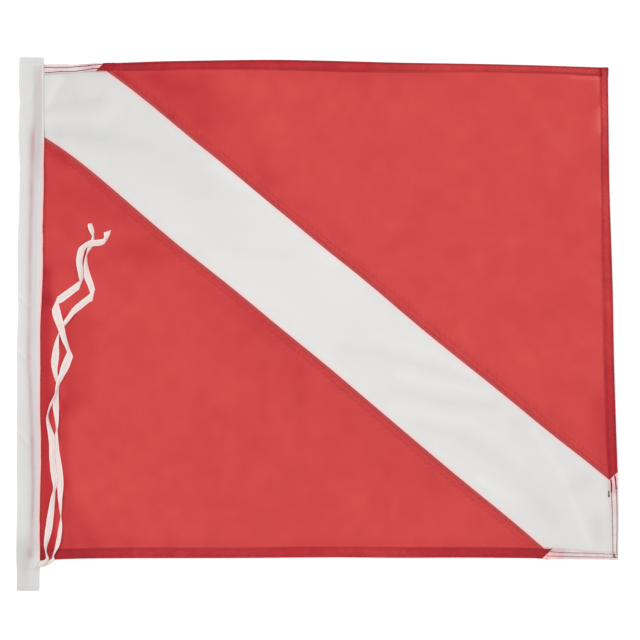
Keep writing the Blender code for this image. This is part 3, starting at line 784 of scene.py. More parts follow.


# painted shade: where the red is darkened as shade falls, in hollows of the laid cloth, along the seams, beside the
# sleeve and beside and between the tie's tails: two places as at() reads them, how strong, how wide
SHADE_PATCHES = [
    (112, 76, 205, 82, 0.30, 12), (160, 84, 222, 108, 0.34, 15), (168, 104, 205, 122, 0.30, 12),
    (200, 128, 268, 178, 0.20, 12), (232, 90, 262, 150, 0.10, 14), (120, 74, 440, 74, 0.14, 6),
    (112, 72, 118, 96, 0.20, 8), (270, 190, 330, 240, 0.08, 16),
    (47, 150, 47, 300, 0.18, 7), (66, 156, 100, 182, 0.26, 11), (98, 196, 150, 240, 0.10, 12), (60, 180, 60, 262, 0.12, 15),
    (98, 262, 158, 254, 0.20, 12), (94, 246, 130, 248, 0.13, 12), (46, 272, 47, 300, 0.70, 7), (46, 300, 46, 560, 0.92, 7),
    (66, 320, 70, 404, 0.50, 11), (84, 322, 88, 396, 0.20, 9), (63, 404, 64, 486, 0.50, 5), (64, 484, 70, 545, 0.50, 9),
    (78, 512, 92, 546, 0.30, 10), (600, 404, 606, 466, 0.38, 11), (560, 424, 596, 452, 0.14, 11),
    (258, 324, 292, 352, 0.10, 17), (263, 366, 265, 424, 0.11, 6), (299, 362, 300, 446, 0.12, 6),
    (387, 466, 388, 530, 0.08, 5), (334, 500, 336, 536, 0.06, 6), (236, 290, 262, 330, 0.06, 12),
    (130, 545, 545, 545, 0.10, 6), (90, 305, 92, 370, 0.06, 7), (70, 200, 74, 280, 0.09, 16), (250, 76, 360, 80, 0.12, 9),
    (78, 540, 130, 542, 0.14, 7), (500, 540, 540, 542, 0.14, 6),
    (130, 76, 205, 92, 0.10, 12), (205, 92, 222, 124, 0.11, 12), (268, 178, 345, 240, 0.09, 12),
    (84, 176, 240, 304, 0.10, 20), (240, 310, 300, 340, 0.07, 12), (84, 200, 100, 226, 0.16, 12),
    (60, 200, 76, 240, 0.08, 12), (53.4, 506, 51.8, 552, 0.80, 3.6), (56.8, 488, 56.4, 505, 0.55, 2.6),
    (42.4, 530, 42.4, 556, 0.25, 3), (58.6, 540, 62, 556, 0.35, 4.0), (52, 395, 53.5, 412, 0.4, 2.6),
    (86.4, 248.5, 83.9, 260.5, 0.6, 1.6),
    (118, 74, 171, 117.5, 0.50, 4.4), (171, 117.5, 240, 173, 0.36, 4.4), (240, 173, 330, 249, 0.12, 4.4),
    (46, 144, 60, 160, 0.38, 8.0),
]


# painted highlights: where the red is made paler, as light catching the cloth would make it, listed the same way
PAINTED_HIGHLIGHTS = [(112, 229, 142, 233, 0.16, 7), (600.2, 108, 600.8, 132, 0.85, 2.4),
         (597.6, 73, 598.2, 92, 0.34, 2.6), (548, 76, 592, 78, 0.16, 3.0), (596, 112, 597, 128, 0.25, 4.0),
         (601, 192, 602, 206, 0.20, 2.5), (572, 76.6, 598, 78.4, 0.42, 1.5)]


def dense_map(panel):
    """How deep the red looks: in the hems, their depth; on the single cloth, the painted shade of the patches less the
    painted highlights, a random mottle, and a deeper red beside the lower seam.
    """
    v = np.array(panel.verts[:panel.laid])
    x, y = v[:, 0], v[:, 1]
    edge = np.minimum(np.minimum((top_y(x) - y) / top_share(x), (y - bottom_y(x)) / low_share(x)),
                      (fly_x(y) - x) / fly_share(y))
    hem = 1 - smooth(7.6, 8.6, edge)
    add = np.zeros(len(v))
    for px, py, qx, qy, strong, wide in SHADE_PATCHES:
        ax, ay = at(px, py)
        bx, by = at(qx, qy)
        add += strong * segment_blob(x, y, ax, ay, bx, by, wide)
    for px, py, qx, qy, light, wide in PAINTED_HIGHLIGHTS:
        add -= light * segment_blob(x, y, *at(px, py), *at(qx, qy), wide)
    mottle = 0.06 * noise(x, y, 34, 91, 1.4, -0.6) + 0.09 * noise(x, y, 15, 92) + 0.05 * noise(x, y, 8, 93)
    if panel is lower:
        d = off_lower(x, y)
        add += 0.05 + 0.09 * (1 - smooth(18, 60, d)) + 0.10 * np.exp(-((d - 6) / 4.0) ** 2)
        add += 0.12 * np.exp(-((d - 4) / 2.0) ** 2)
    dense = hem * red_depth(x, y) + (1 - hem) * (add + mottle + 0.04)
    panel.dense[:panel.laid] = np.clip(dense, -1, 2).tolist()


pucker_band(upper, off_upper, 41)
pucker_band(lower, off_lower, 44)
dense_map(upper)
dense_map(lower)


def hem_edge_shadow(x, y):
    """Painted shadow: a fine dark line on the cloth where the turned end of a hem casts shade."""
    down, left, up = (top_y(x) - y) / top_share(x), (fly_x(y) - x) / fly_share(y), (y - bottom_y(x)) / low_share(x)
    top_on = 0.25 + 0.75 * smooth(170, 235, x) + 0.5 * smooth(245, 270, x)
    fly_on = np.interp(y, [-160, -60, 60, 120, 170, 200, 266], [0.5, 0.3, 0.2, 0.5, 0.9, 1.0, 1.0])
    inner = smooth(6.0, 8.5, left)
    dark = top_on * np.exp(-((down - 7.5) / 0.5) ** 2) * inner + fly_on * np.exp(-((left - 7.5) / 0.5) ** 2)
    return -0.28 * dark - 0.08 * np.exp(-((up - 7.6) / 0.6) ** 2)


def shade_red(v):
    x, y = v[:, 0], v[:, 1]
    d = np.maximum(off_upper(x, y), off_lower(x, y))
    # painted shade in the seam's turned edge, and along the hems' turned ends
    out = 0.012 * noise(x, y, 120, 95) - 0.21 * np.exp(-((d - 1.1) / 1.0) ** 2) + hem_edge_shadow(x, y)
    s = x * U_DIR[0] + y * U_DIR[1]
    # painted shade: lighter and darker between the puckers beside the seam
    band = smooth(1.5, 3.5, d) * (1 - smooth(10.0, 17.0, d))
    out = out + band * (0.06 * noise(s, d, 4.6, 305, 0.7) + 0.045 * np.sin(2 * np.pi * (s + 0.8 * d) / 6.1
                                                                          + 2 * noise(s, d, 30, 42)))
    # the shadow beside the sleeve
    at_sleeve = smooth(-0.9, 0.2, x - flange_x(y)) * np.exp(-(np.clip(x - flange_x(y) - 0.6, 0, None) / 1.3) ** 2)
    mitre = segment_blob(x, y, *at(97.2, 70.6), *at(103.9, 64.0), 0.9)
    corner = smooth(287, 291, x) * smooth(262.6, 265.2, y)
    out = out - 0.42 * mitre * (x < -205) - 0.22 * corner - 0.25 * segment_blob(x, y, *at(550.6, 549.6), *at(551.2, 549.6), 1.3)
    return out - 0.42 * at_sleeve * (y < 190)


# painted shade and highlight along the stripe's wrinkles: a line's two places as at() reads them, how much lighter or
# darker, how wide
WRINKLE_SHADES = [
    (60, 80, 46, 106, 0.070, 3.0), (70, 78, 66, 92, -0.02, 4.0), (50, 107, 100, 99, -0.036, 6.5),
    (62, 90, 74, 98, -0.016, 6.0), (160, 172, 240, 228, -0.016, 12.0), (340, 356, 384, 366, -0.012, 9.0), (96, 92, 84, 98, 0.03, 5.0), (46, 119, 100, 120, 0.044, 4.5),
    (100, 120, 118, 108, 0.045, 7.0), (110, 96, 124, 92, 0.02, 6.0), (54, 132, 106, 139, -0.04, 5.5),
    (106, 139, 150, 147, -0.028, 7.5), (70, 152, 98, 160, 0.03, 7.0), (100, 162, 132, 178, 0.012, 9.0),
    (168, 156, 210, 186, -0.022, 9.0), (216, 166, 262, 196, 0.035, 6.0), (196, 190, 232, 200, -0.02, 9.0),
    (186, 232, 220, 256, 0.02, 8.0), (236, 250, 292, 256, -0.022, 6.0), (200, 244, 236, 250, -0.012, 8.0),
    (288, 232, 336, 262, 0.015, 7.0), (300, 262, 380, 320, 0.010, 16.0),
    (340, 347, 384, 355, -0.035, 5.5), (384, 355, 440, 370, -0.040, 5.0), (440, 370, 470, 378, -0.030, 4.5),
    (376, 336, 432, 352, 0.020, 5.0), (432, 352, 474, 376, 0.035, 4.0), (400, 376, 484, 393, 0.035, 4.0),
    (396, 390, 440, 402, -0.035, 5.0), (440, 402, 496, 406, -0.040, 5.0), (396, 410, 470, 420, 0.020, 5.5),
    (470, 422, 504, 440, 0.022, 5.0), (504, 440, 522, 462, 0.016, 5.0),
    (420, 424, 462, 438, -0.040, 5.5), (462, 438, 508, 466, -0.048, 8.5), (508, 466, 552, 516, -0.030, 13.0),
    (436, 446, 480, 482, 0.018, 6.0), (480, 480, 516, 500, 0.030, 6.0), (510, 418, 536, 444, -0.020, 5.0),
    (534, 432, 562, 474, 0.034, 4.5), (562, 474, 590, 544, 0.036, 4.0), (572, 488, 588, 480, -0.055, 8.0),
    (596, 522, 598, 538, -0.075, 8.0), (592, 500, 604, 506, 0.020, 6.0), (544, 510, 566, 540, -0.020, 10.0),
]


def shade_white(v):
    """Painted shade on the stripe: greyer to both its ends, lighter and darker along its wrinkles, darker just past the
    hems' inner edge, and lighter over the top hem's left end but for a darker place near the mitre.
    """
    x, y = v[:, 0], v[:, 1]
    s = (x - UPPER_A[0]) * U_DIR[0] + (y - UPPER_A[1]) * U_DIR[1]
    out = np.interp(s, [-20, 30, 110, 220, 330, 480, 600, 690], [-0.115, -0.105, -0.06, -0.012, 0.0, -0.012, -0.03, -0.04])
    hem = np.minimum(np.minimum(top_y(x) - y, y - bottom_y(x)), fly_x(y) - x)
    last, run = None, 0.0
    for px, py, qx, qy, light, wide in WRINKLE_SHADES:
        one = light * segment_blob(x, y, *at(px, py), *at(qx, qy), wide)
        if (px, py) == last:            # the same wrinkle goes on
            run = np.where(np.abs(one) > np.abs(run), one, run)
        else:
            out, run = out + run, one
        last = (qx, qy)
    out = out + run - 0.03 * np.exp(-((hem - 10) / 2.5) ** 2)
    out = out + (0.10 - 0.12 * near(x, float(at(91, 68)[0]), 5, 8)) * (hem < 8.6) * (y > 200) * (x < -200)
    mill = np.exp(-((np.maximum(off_upper(x, y), off_lower(x, y)) + 9) / 5.0) ** 2)
    return out + 0.010 * noise(x, y, 30, 96, 1.6, -0.5) + 0.02 * mill * noise(x, y, 6.0, 97, 1.3, -0.7)


def band_upper(v):
    return np.clip(off_upper(v[:, 0], v[:, 1]), -60, 60)


def band_lower(v):
    return np.clip(off_lower(v[:, 0], v[:, 1]), -60, 60)


def band_red(off):
    """Inside the hems the red is folded over the seam, and the seam's dull edge isn't seen."""
    def band(v):
        x, y = v[:, 0], v[:, 1]
        edge = np.minimum(np.minimum((top_y(x) - y) / top_share(x), (y - bottom_y(x)) / low_share(x)),
                          (fly_x(y) - x) / fly_share(y))
        return np.maximum(off(v), np.where(edge < 7.9, 5.0, -60.0))
    return band


upper_panel = upper.build("upper_red_cloth", {"shade": shade_red, "band": band_red(band_upper)})
lower_panel = lower.build("lower_red_cloth", {"shade": shade_red, "band": band_red(band_lower)})


def band_white(v):
    """The painted pink reflection beside the seams reaches less far on the hems than on the single cloth."""
    x, y = v[:, 0], v[:, 1]
    in_fly = (1 - smooth(7.5, 8.5, fly_x(y) - x)) * (y < -140)
    in_low = (1 - smooth(8.5, 9.5, y - bottom_y(x))) * (x > 200)
    return np.maximum(band_upper(v), band_lower(v)) - 1.7 * np.maximum(in_fly, in_low)


stripe_panel = stripe.build("white_stripe_cloth", {"shade": shade_white, "band": band_white})

# ---------------------------------------------------------------- sewing

PITCH, STITCH = 3.0, 2.72


def stitches(name, rows, radius=0.26, long=STITCH, tone=0.5):
    """Machine stitches in rows. A row is (places of the stitches' middles, the way that each one points, up or down).
    The tone says how much the thread takes the cloth's light red."""
    ring = [(-0.5, 0.30, -0.20), (-0.40, 0.80, -0.06), (0.0, 1.0, 0.0), (0.40, 0.80, -0.06), (0.5, 0.30, -0.20)]
    verts, faces, rest = [], [], []
    for mid, way, side in rows:
        for p, d in zip(np.asarray(mid), np.asarray(way)):
            d = d / (np.linalg.norm(d) + 1e-12)
            b = np.cross((0, 0, 1.0), d)
            b /= np.linalg.norm(b) + 1e-12
            c = np.cross(d, b)
            first = len(verts)
            for a, r, low in ring:
                for k in range(6):
                    w = 2 * math.pi * k / 6
                    q = (p + d * a * long + b * math.cos(w) * r * radius
                         + c * (math.sin(w) * r * radius * 0.92) + np.array((0, 0, side * low)))
                    verts.append(q)
            for i in range(4):
                for k in range(6):
                    a0, a1 = first + i * 6 + k, first + i * 6 + (k + 1) % 6
                    faces.append([a0, a1, a1 + 6, a0 + 6])
            faces.append([first + k for k in range(5, -1, -1)])
            faces.append([first + 24 + k for k in range(6)])
    v = np.array(verts)
    tones = tone(v[:, 0], v[:, 1]) if callable(tone) else np.full(len(v), float(tone))
    return make_object(name, v, faces, {"rest": v * 0.001, "tone": tones})


def row(place, lo, hi, side=1.0, skip=None):
    s = np.arange(lo + PITCH / 2, hi, PITCH)
    a, b, m = place(s - 0.6), place(s + 0.6), place(s)
    if skip is not None:
        keep = ~skip(m)
        a, b, m = a[keep], b[keep], m[keep]
    return (m, b - a, side)


LIFT = CLOTH / 2 + 0.10


def hem_row(hem, t, lo=0.0, hi=None, extra=None, skip=None):
    hi = hem.long if hi is None else hi

    where = t if callable(t) else (lambda s: t + 0 * s)

    def over(s):
        s = np.clip(s, 0, hem.long)
        q = hem.top(s, where(s))
        if extra is not None:
            q[:, 2] = np.maximum(q[:, 2], extra(q[:, 0], q[:, 1]))
        q[:, 2] += LIFT
        return q

    def below(s):
        s = np.clip(s, 0, hem.long)
        x, y = hem.flat(s, where(s))
        return np.stack([x, y, lay(x, y) - LIFT], axis=1)
    return [row(over, lo, hi, 1.0, skip), row(below, lo, hi, -1.0, skip)]


def in_sleeve(q):
    return q[:, 0] < flange_x(q[:, 1]) + 1.9


corner_top = lambda x, y: lay(x, y) + 2 * bottom_radius(0, x, y) * 0.82 * (y < bottom_y(x) + 8.4)
rows_top_red = [hem_row(hem_top_red, t, lo=1.0, hi=hem_top_red.long - 8.6) for t in hem_top_red.rows]
rows_top_white = [hem_row(hem_top_white, t, hi=hem_top_white.long - 2.0, skip=in_sleeve) for t in hem_top_white.rows]
rows_fly_red = [hem_row(hem_fly_red, t, lo=0.3, hi=hem_fly_red.long - 1.0) for t in hem_fly_red.rows]
rows_fly_white = [hem_row(hem_fly_white, t, lo=2.0, hi=hem_fly_white.long - 0.4, extra=corner_top) for t in hem_fly_white.rows]
for k, t in enumerate(hem_fly_white.rows):      # sewn back and forth where the thread starts
    rows_fly_white[k] += [hem_row(hem_fly_white, lambda s, t=t, off=off: t(s) + off, lo=3.4, hi=19.0)[0]
                          for off in (-0.36, 0.36)]
rows_bottom = [hem_row(hem_bottom_white, hem_bottom_white.rows[k], lo=0.4, hi=hem_bottom_white.long - 2.0)
               + hem_row(hem_bottom_red, HEM_ROWS[k], lo=1.0, skip=in_sleeve) for k in (0, 1)]


def seam_row(which, d, lo, hi, skip):
    def over(s):
        q = on_seam(which, s, d)
        z = lay(q[:, 0], q[:, 1]) + band_lift(np.full(len(q), d)) - 0.17 + LIFT
        return np.column_stack([q, z])

    def below(s):
        q = on_seam(which, s, d)
        return np.column_stack([q, lay(q[:, 0], q[:, 1]) - LIFT])
    return [row(over, lo, hi, 1.0, skip), row(below, lo, hi, -1.0, skip)]


def off_hems(q):
    x, y = q[:, 0], q[:, 1]
    return (top_y(x) - y < 8.8) | (y - bottom_y(x) < 8.8) | (fly_x(y) - x < 8.8) | (x < -283.2)


rows_upper = [seam_row("upper", d, -12, 690, off_hems) for d in SEAM_ROWS]
rows_lower = [seam_row("lower", d, -12, 690, off_hems) for d in SEAM_ROWS]

thread = {
    "top_hem_thread_outer_red": rows_top_red[0], "top_hem_thread_inner_red": rows_top_red[1],
    "top_hem_thread_outer_white": rows_top_white[0], "top_hem_thread_inner_white": rows_top_white[1],
    "fly_hem_thread_outer_red": rows_fly_red[0], "fly_hem_thread_inner_red": rows_fly_red[1],
    "fly_hem_thread_outer_white": rows_fly_white[0], "fly_hem_thread_inner_white": rows_fly_white[1],
    "bottom_hem_thread_outer": rows_bottom[0], "bottom_hem_thread_inner": rows_bottom[1],
    "upper_seam_thread_outer": rows_upper[0], "upper_seam_thread_inner": rows_upper[1],
    "lower_seam_thread_outer": rows_lower[0], "lower_seam_thread_inner": rows_lower[1],
}
sewn = {}


def tone_red(x, y):
    return np.clip(1.05 - 0.75 * red_depth(x, y) + 0.15 * noise(x, y, 14, 306), 0.1, 1)


def tone_bottom(x, y):
    return np.where(x > hem_l_x, 0.02, np.clip(tone_red(x, y) + 0.42, 0, 1))


dots = np.array([at(609.0 + i, 492.2 + j) for i in (-0.6, -0.2, 0.2, 0.6) for j in (0.0, 3.3)])
dots = np.column_stack([dots, lay(dots[:, 0], dots[:, 1]) + 0.62])
knot = np.array([at(614.0, 554.4), at(614.5, 555.6), at(614.7, 557.0), at(613.9, 557.0), at(614.2, 556.2)])
knot = np.column_stack([knot, corner_top(knot[:, 0], knot[:, 1]) + LIFT + 0.42])
knot_way = np.array([(0.3, -1.0, 0.0), (0.2, -1.0, 0.0), (1.0, 0.1, 0.0), (1.0, -0.3, 0.0), (0.8, -0.8, 0.0)])
for node, rows in thread.items():
    name = "stitches_" + node.replace("_thread", "")
    if node == "fly_hem_thread_inner_white":
        rows = rows + [(dots, np.array([(0.12, 1.0, 0.0)] * len(dots)), 0.0), (knot, knot_way, 0.0)]
    if node.endswith("_white"):
        at_knot = lambda x, y: 0.42 * (np.hypot(x - knot[4, 0], y - knot[4, 1]) < 4.0)
        sewn[node] = stitches(name, rows, radius=0.36 if node.startswith("fly") else 0.39, long=2.92,
                              tone=at_knot if node.startswith("fly") else 0.0)
    elif node.startswith("bottom"):
        sewn[node] = stitches(name, rows, radius=0.27, long=2.85, tone=tone_bottom)
    elif node.endswith("_red"):
        sewn[node] = stitches(name, rows, radius=0.26, tone=tone_red)
    else:
        sewn[node] = stitches(name, rows, radius=0.24, long=2.1, tone=0.72 if node.endswith("outer") else 0.58)

# ---------------------------------------------------------------- the sleeve


def flange_lift(y):
    """The flag's hems and seam make the sewn edge of the sleeve thicker where they go in."""
    top = smooth(256.5, 260, y) * (1 - smooth(266.5, 268.5, y))
    low = (1 - smooth(-230.4, -227.5, y)) * smooth(-243.6, -241.8, y)
    seam = smooth(181, 185, y) * (1 - smooth(196, 203, y))
    bare = np.maximum(smooth(267.5, 270, y), 1 - smooth(-254.5, -251.5, y))
    tie = smooth(-251.5, -249.5, y) * (1 - smooth(-243.6, -241.8, y))
    return 0.84 * top + 0.84 * low + 0.62 * seam - 0.34 * bare + 0.80 * tie


SLEEVE_COLS = [          # from which edge, how far from it, how high, how loose, how much of the flange's lift
    ("R", 4.2, 0.40, 0, 0), ("R", 2.0, 0.40, 0, 0), ("R", 0.4, 0.40, 0, 0), ("R", 0.0, 0.275, 0, 0),
    ("R", 0.4, 0.15, 0, 0), ("R", 2.0, 0.15, 0, 0), ("R", 4.4, 0.15, 0, 0), ("R", 8.0, 0.15, 0, 0),
    ("R", 12.0, 0.15, 0, 0), ("L", 8.0, 0.15, 0, 0), ("L", 5.0, 0.15, 0, 0), ("L", 2.4, 0.16, 0, 0),
    ("L", 1.1, 0.24, 0, 0), ("L", 0.35, 0.55, 0.1, 0), ("L", 0.0, 1.00, 0.2, 0), ("L", 0.22, 1.45, 0.3, 0),
    ("L", 0.9, 1.85, 0.5, 0), ("L", 2.0, 2.15, 0.7, 0), ("L", 3.4, 2.38, 0.9, 0), ("L", 5.0, 2.52, 1, 0),
    ("L", 6.8, 2.60, 1, 0), ("L", 8.8, 2.62, 1, 0), ("L", 10.8, 2.58, 1, 0), ("L", 12.8, 2.46, 1, 0),
    ("L", 14.8, 2.28, 1, 0.05), ("R", 8.6, 2.04, 0.9, 0.2), ("R", 7.2, 1.78, 0.7, 0.5), ("R", 6.0, 1.56, 0.5, 0.8),
    ("R", 5.1, 1.42, 0.3, 1), ("R", 4.4, 1.36, 0.2, 1), ("R", 3.7, 1.31, 0.1, 1), ("R", 3.1, 1.28, 0, 1),
    ("R", 2.5, 1.31, 0.1, 1), ("R", 1.7, 1.36, 0.15, 1), ("R", 0.9, 1.36, 0.15, 1), ("R", 0.3, 1.30, 0.1, 1),
    ("R", 0.0, 1.16, 0, 1), ("R", 0.3, 1.04, 0, 1), ("R", 2.0, 1.00, 0, 1), ("R", 4.2, 1.00, 0, 1),
]
TUBE = (6, 29)               # the columns that make the pocket itself
SLEEVE_RIDGES = [(19, 294, 31, 306, 0.60, 2.2), (20, 300, 30, 313, -0.4, 2.4), (19, 350, 31, 362, 0.60, 2.2),
                 (20, 356, 30, 369, -0.4, 2.4), (19, 430, 31, 444, 0.65, 2.3), (21, 437, 30, 451, -0.4, 2.4),
                 (24, 120, 27, 190, 0.3, 3.0), (22, 470, 25, 540, 0.25, 3.0), (33, 180, 36, 232, -0.25, 2.5),
                 (30, 560, 24, 575, -0.3, 3.0), (36, 80, 30, 100, 0.3, 2.5)]


def crease(x, y):
    h = 0.20 * noise(x, y, 30, 51, 0.5) + 0.13 * noise(x, y, 11, 52, 1.6, 0.9) + 0.06 * noise(x, y, 5, 53, 1.6, -0.8)
    for px, py, qx, qy, high, wide in SLEEVE_RIDGES:
        ax, ay = at(px, py)
        bx, by = at(qx, qy)
        h = h + high * segment_blob(x, y, ax, ay, bx, by, wide)
    return h


def sleeve_grid(ys, inset=0.0, only=None):
    cols = SLEEVE_COLS
    xs, zs = [], []
    right, left, lift = flange_x(ys), fold_x(ys), flange_lift(ys)
    flat = 1 - 0.42 * (1 - smooth(-256, -240, ys)) - 0.30 * smooth(258, 270, ys)
    wob = 0.15 * noise(ys, 0 * ys, 26, 61) + 0.12 * noise(ys, 0 * ys + 9, 9, 62)
    for side, off, z, loose, share in cols:
        fit = 1.0 if off < 4.6 else (right - left) / 25.2
        x = (right + 0.25 * noise(ys, 0 * ys + 40, 11, 63) - off * fit) if side == "R" else (left + wob + off * fit)
        xs.append(x)
        high = z if z < 1.0 else 1.0 + (z - 1.0) * (flat if loose > 0.15 else 1.0)
        zs.append(high + loose * crease(x, ys) + share * lift + 0 * ys)
    x, z = np.array(xs).T, np.array(zs).T
    # one more column between each two, on a smooth curve through them
    def finer(a):
        e = np.concatenate([2 * a[:, :1] - a[:, 1:2], a, 2 * a[:, -1:] - a[:, -2:-1]], axis=1)
        m = (9 * (e[:, 1:-2] + e[:, 2:-1]) - e[:, :-3] - e[:, 3:]) / 16
        out = np.empty((a.shape[0], a.shape[1] * 2 - 1))
        out[:, 0::2], out[:, 1::2] = a, m
        return out
    x, z = finer(x), finer(z)
    if inset:
        tx, tz = np.gradient(x, axis=1), np.gradient(z, axis=1)
        n = np.sqrt(tx ** 2 + tz ** 2) + 1e-9
        x, z = x + tz / n * inset, z - tx / n * inset
    return x, z


def build_sleeve():
    ys = np.linspace(-SLEEVE_END, SLEEVE_END, 430)
    x, z = sleeve_grid(ys)
    ncol = x.shape[1]
    verts = np.stack([x, np.repeat(ys[:, None], ncol, axis=1), z], axis=2).reshape(-1, 3)
    faces = []
    for r in range(len(ys) - 1):
        for c in range(ncol - 1):
            a = r * ncol + c
            faces.append([a, a + 1, a + 1 + ncol, a + ncol])
    verts = verts.tolist()
    lo, hi = TUBE[0] * 2, TUBE[1] * 2
    for end, sign in ((0, 1), (len(ys) - 1, -1)):
        before = [end * ncol + c for c in range(lo, hi + 1)]
        for depth, inset in ((0.02, 0.16), (0.3, 0.29), (2.6, 0.30), (5.0, 0.28)):
            yy = np.array([ys[end] + sign * depth])
            xi, zi = sleeve_grid(yy, inset)
            new = list(range(len(verts), len(verts) + hi - lo + 1))
            verts.extend([[xi[0, c], yy[0], zi[0, c]] for c in range(lo, hi + 1)])
            for k in range(len(new) - 1):
                quad = [before[k], before[k + 1], new[k + 1], new[k]]
                faces.append(quad if sign < 0 else quad[::-1])
            before = new
    v = np.array(verts)
    # the flag's red edge inside shows through the white as a thin pink streak
    d = v[:, 0] - raw_x(v[:, 1]) - 0.9 - np.interp(
        v[:, 1], [-230, -197, -131, -98, -66, -33, 33, 66, 98, 131, 164, 180, 197, 215],
        [0.8, 0.8, 0.5, 0.5, 0.4, -0.3, 0.0, -0.5, -0.8, -0.8, -0.9, -1.1, -1.5, -1.5])
    span = smooth(-243, -236, v[:, 1]) * (1 - smooth(252, 262, v[:, 1]))
    red_part = 1 - 0.5 * smooth(192, 205, v[:, 1])
    strong = 0.55 + 0.16 * noise(v[:, 1], v[:, 1] * 0, 22, 71) + 0.12 * noise(v[:, 1], v[:, 1] * 0 + 5, 7, 72)
    strong = strong + 0.20 * near(v[:, 1], -150, 30, 30)
    streak = np.exp(-(d / 1.9) ** 2) * strong + 0.26 * np.exp(-((d + 1.6) / 3.0) ** 2)
    streak = streak * np.interp(v[:, 1], [-230, -197, -164, -131, -98, -66, -33, 0, 33, 66, 98, 131, 164, 185, 197, 207, 217],
                                [0.9, 0.85, 0.8, 1.05, 1.0, 0.92, 1.0, 0.8, 0.95, 1.1, 1.1, 1.05, 1.35, 1.45, 1.25, 0.5, 0.25])
    ax, ay = at(27.8, 553.5)
    spot = 0.34 * np.exp(-(((v[:, 0] - ax) / 3.6) ** 2 + ((v[:, 1] - ay) / 5.5) ** 2))
    top_side = (v[:, 2] > 0.8)
    inner = smooth(0.0, 2.0, d) * (1 - smooth(6.5, 8.0, d)) * 0.16
    in_x = flange_x(v[:, 1]) - v[:, 0]
    on_white = smooth(186, 192, v[:, 1]) * (1 - smooth(262, 266, v[:, 1]))
    haze = (1 - smooth(9.0, 12.5, in_x)) * smooth(0.8, 2.2, in_x) * smooth(135, 180, v[:, 1]) * (1 - smooth(262, 267, v[:, 1]))
    # painted reflection: a pale pink along the sleeve's sewn edge over the red, which the material mixes in
    painted_rim = (1 - smooth(0.3, 3.6, in_x)) * smooth(-242, -239, v[:, 1]) * (1 - smooth(184, 190, v[:, 1])) * top_side
    tint = ((streak + inner) * span * red_part + spot + 0.18 * haze) * top_side
    # painted shade and highlight: darker towards the foot, over the upper part and under the pink haze, lighter at the
    # very foot and near the tie, a highlight on the raised sewn edge over the white with darker cloth inside it, and
    # lighter and darker along the creases
    shade = -0.035 * (1 - smooth(-232, -205, v[:, 1])) - 0.03 * (1 - smooth(-100, -60, v[:, 1]))
    shade = shade + 0.045 * smooth(-250, -256, v[:, 1]) - 0.055 * haze - 0.036 * smooth(90, 160, v[:, 1])
    shade = shade - 0.075 * (1 - smooth(-225, -212, v[:, 1])) * smooth(8, 13, in_x)
    shade = shade + 0.10 * near(v[:, 1], -241, 6, 4) * (1 - smooth(3, 6, in_x))
    shade = shade + on_white * (0.07 * np.exp(-((in_x - 1.0) / 1.0) ** 2) - 0.03 * np.exp(-((in_x - 3.2) / 1.2) ** 2))
    for px, py, qx, qy, high, wide in SLEEVE_RIDGES:
        shade = shade + 0.07 * high * segment_blob(v[:, 0], v[:, 1], *at(px, py), *at(qx, qy), wide * 0.8)
    obj = make_object("pole_sleeve_cloth", v, faces, {"rest": v * 0.001, "tint": np.clip(tint, 0, 1), "shade": shade,
                                                      "painted_rim": np.clip(painted_rim, 0, 1)})
    return thicken(obj, 0.24)


sleeve = build_sleeve()


def sleeve_top(x, y):
    """Height of the sleeve's upper layer over one place in x, for places along y."""
    y = np.atleast_1d(np.asarray(y, float))
    xs, zs = sleeve_grid(y)
    first = 15 * 2
    last = 35 * 2
    return np.array([np.interp(xx, xs[i, first:last], zs[i, first:last]) for i, xx in enumerate(np.broadcast_to(x, y.shape))])


def sleeve_row_points(y):
    x = flange_x(y) + 0.25 * noise(y, 0 * y + 40, 11, 63) - 3.1
    z = 1.20 + flange_lift(y) + 0.12 + 0.10
    return np.stack([x, y, z + 0 * y], axis=1)


def sleeve_row_low(y):
    q = sleeve_row_points(y)
    q[:, 2] = 0.15 - 0.03
    return q


def across(y0, upper_side):
    def place(s):
        x = fold_x(np.full(len(s), y0)) + s
        y = y0 + 0.15 * np.sin(s / 3.0)
        if upper_side:
            return np.stack([x, y, sleeve_top(x, y) + 0.12 + 0.09], axis=1)
        return np.stack([x, y, np.full(len(s), 0.15 - 0.03)], axis=1)
    return place


s_rows = [row(sleeve_row_points, -SLEEVE_END + 1, SLEEVE_END - 1, 1.0), ]
s_low = [row(sleeve_row_low, -SLEEVE_END + 1, SLEEVE_END - 1, 0.0)]
sewn["sleeve_seam_thread"] = stitches("stitches_sleeve_seam", s_rows + s_low, radius=0.17)
for node, y0 in (("sleeve_top_hem_thread", 267.8), ("sleeve_bottom_hem_thread", -269.6)):
    sewn[node] = stitches("stitches_" + node.replace("_thread", ""),
                          [row(across(y0, True), 1.4, 24.0, 1.0), row(across(y0, False), 1.4, 24.0, 0.0)], radius=0.17)

# ---------------------------------------------------------------- the tie ribbon

RIBBON_W, RIBBON_T = 7.0, 0.19
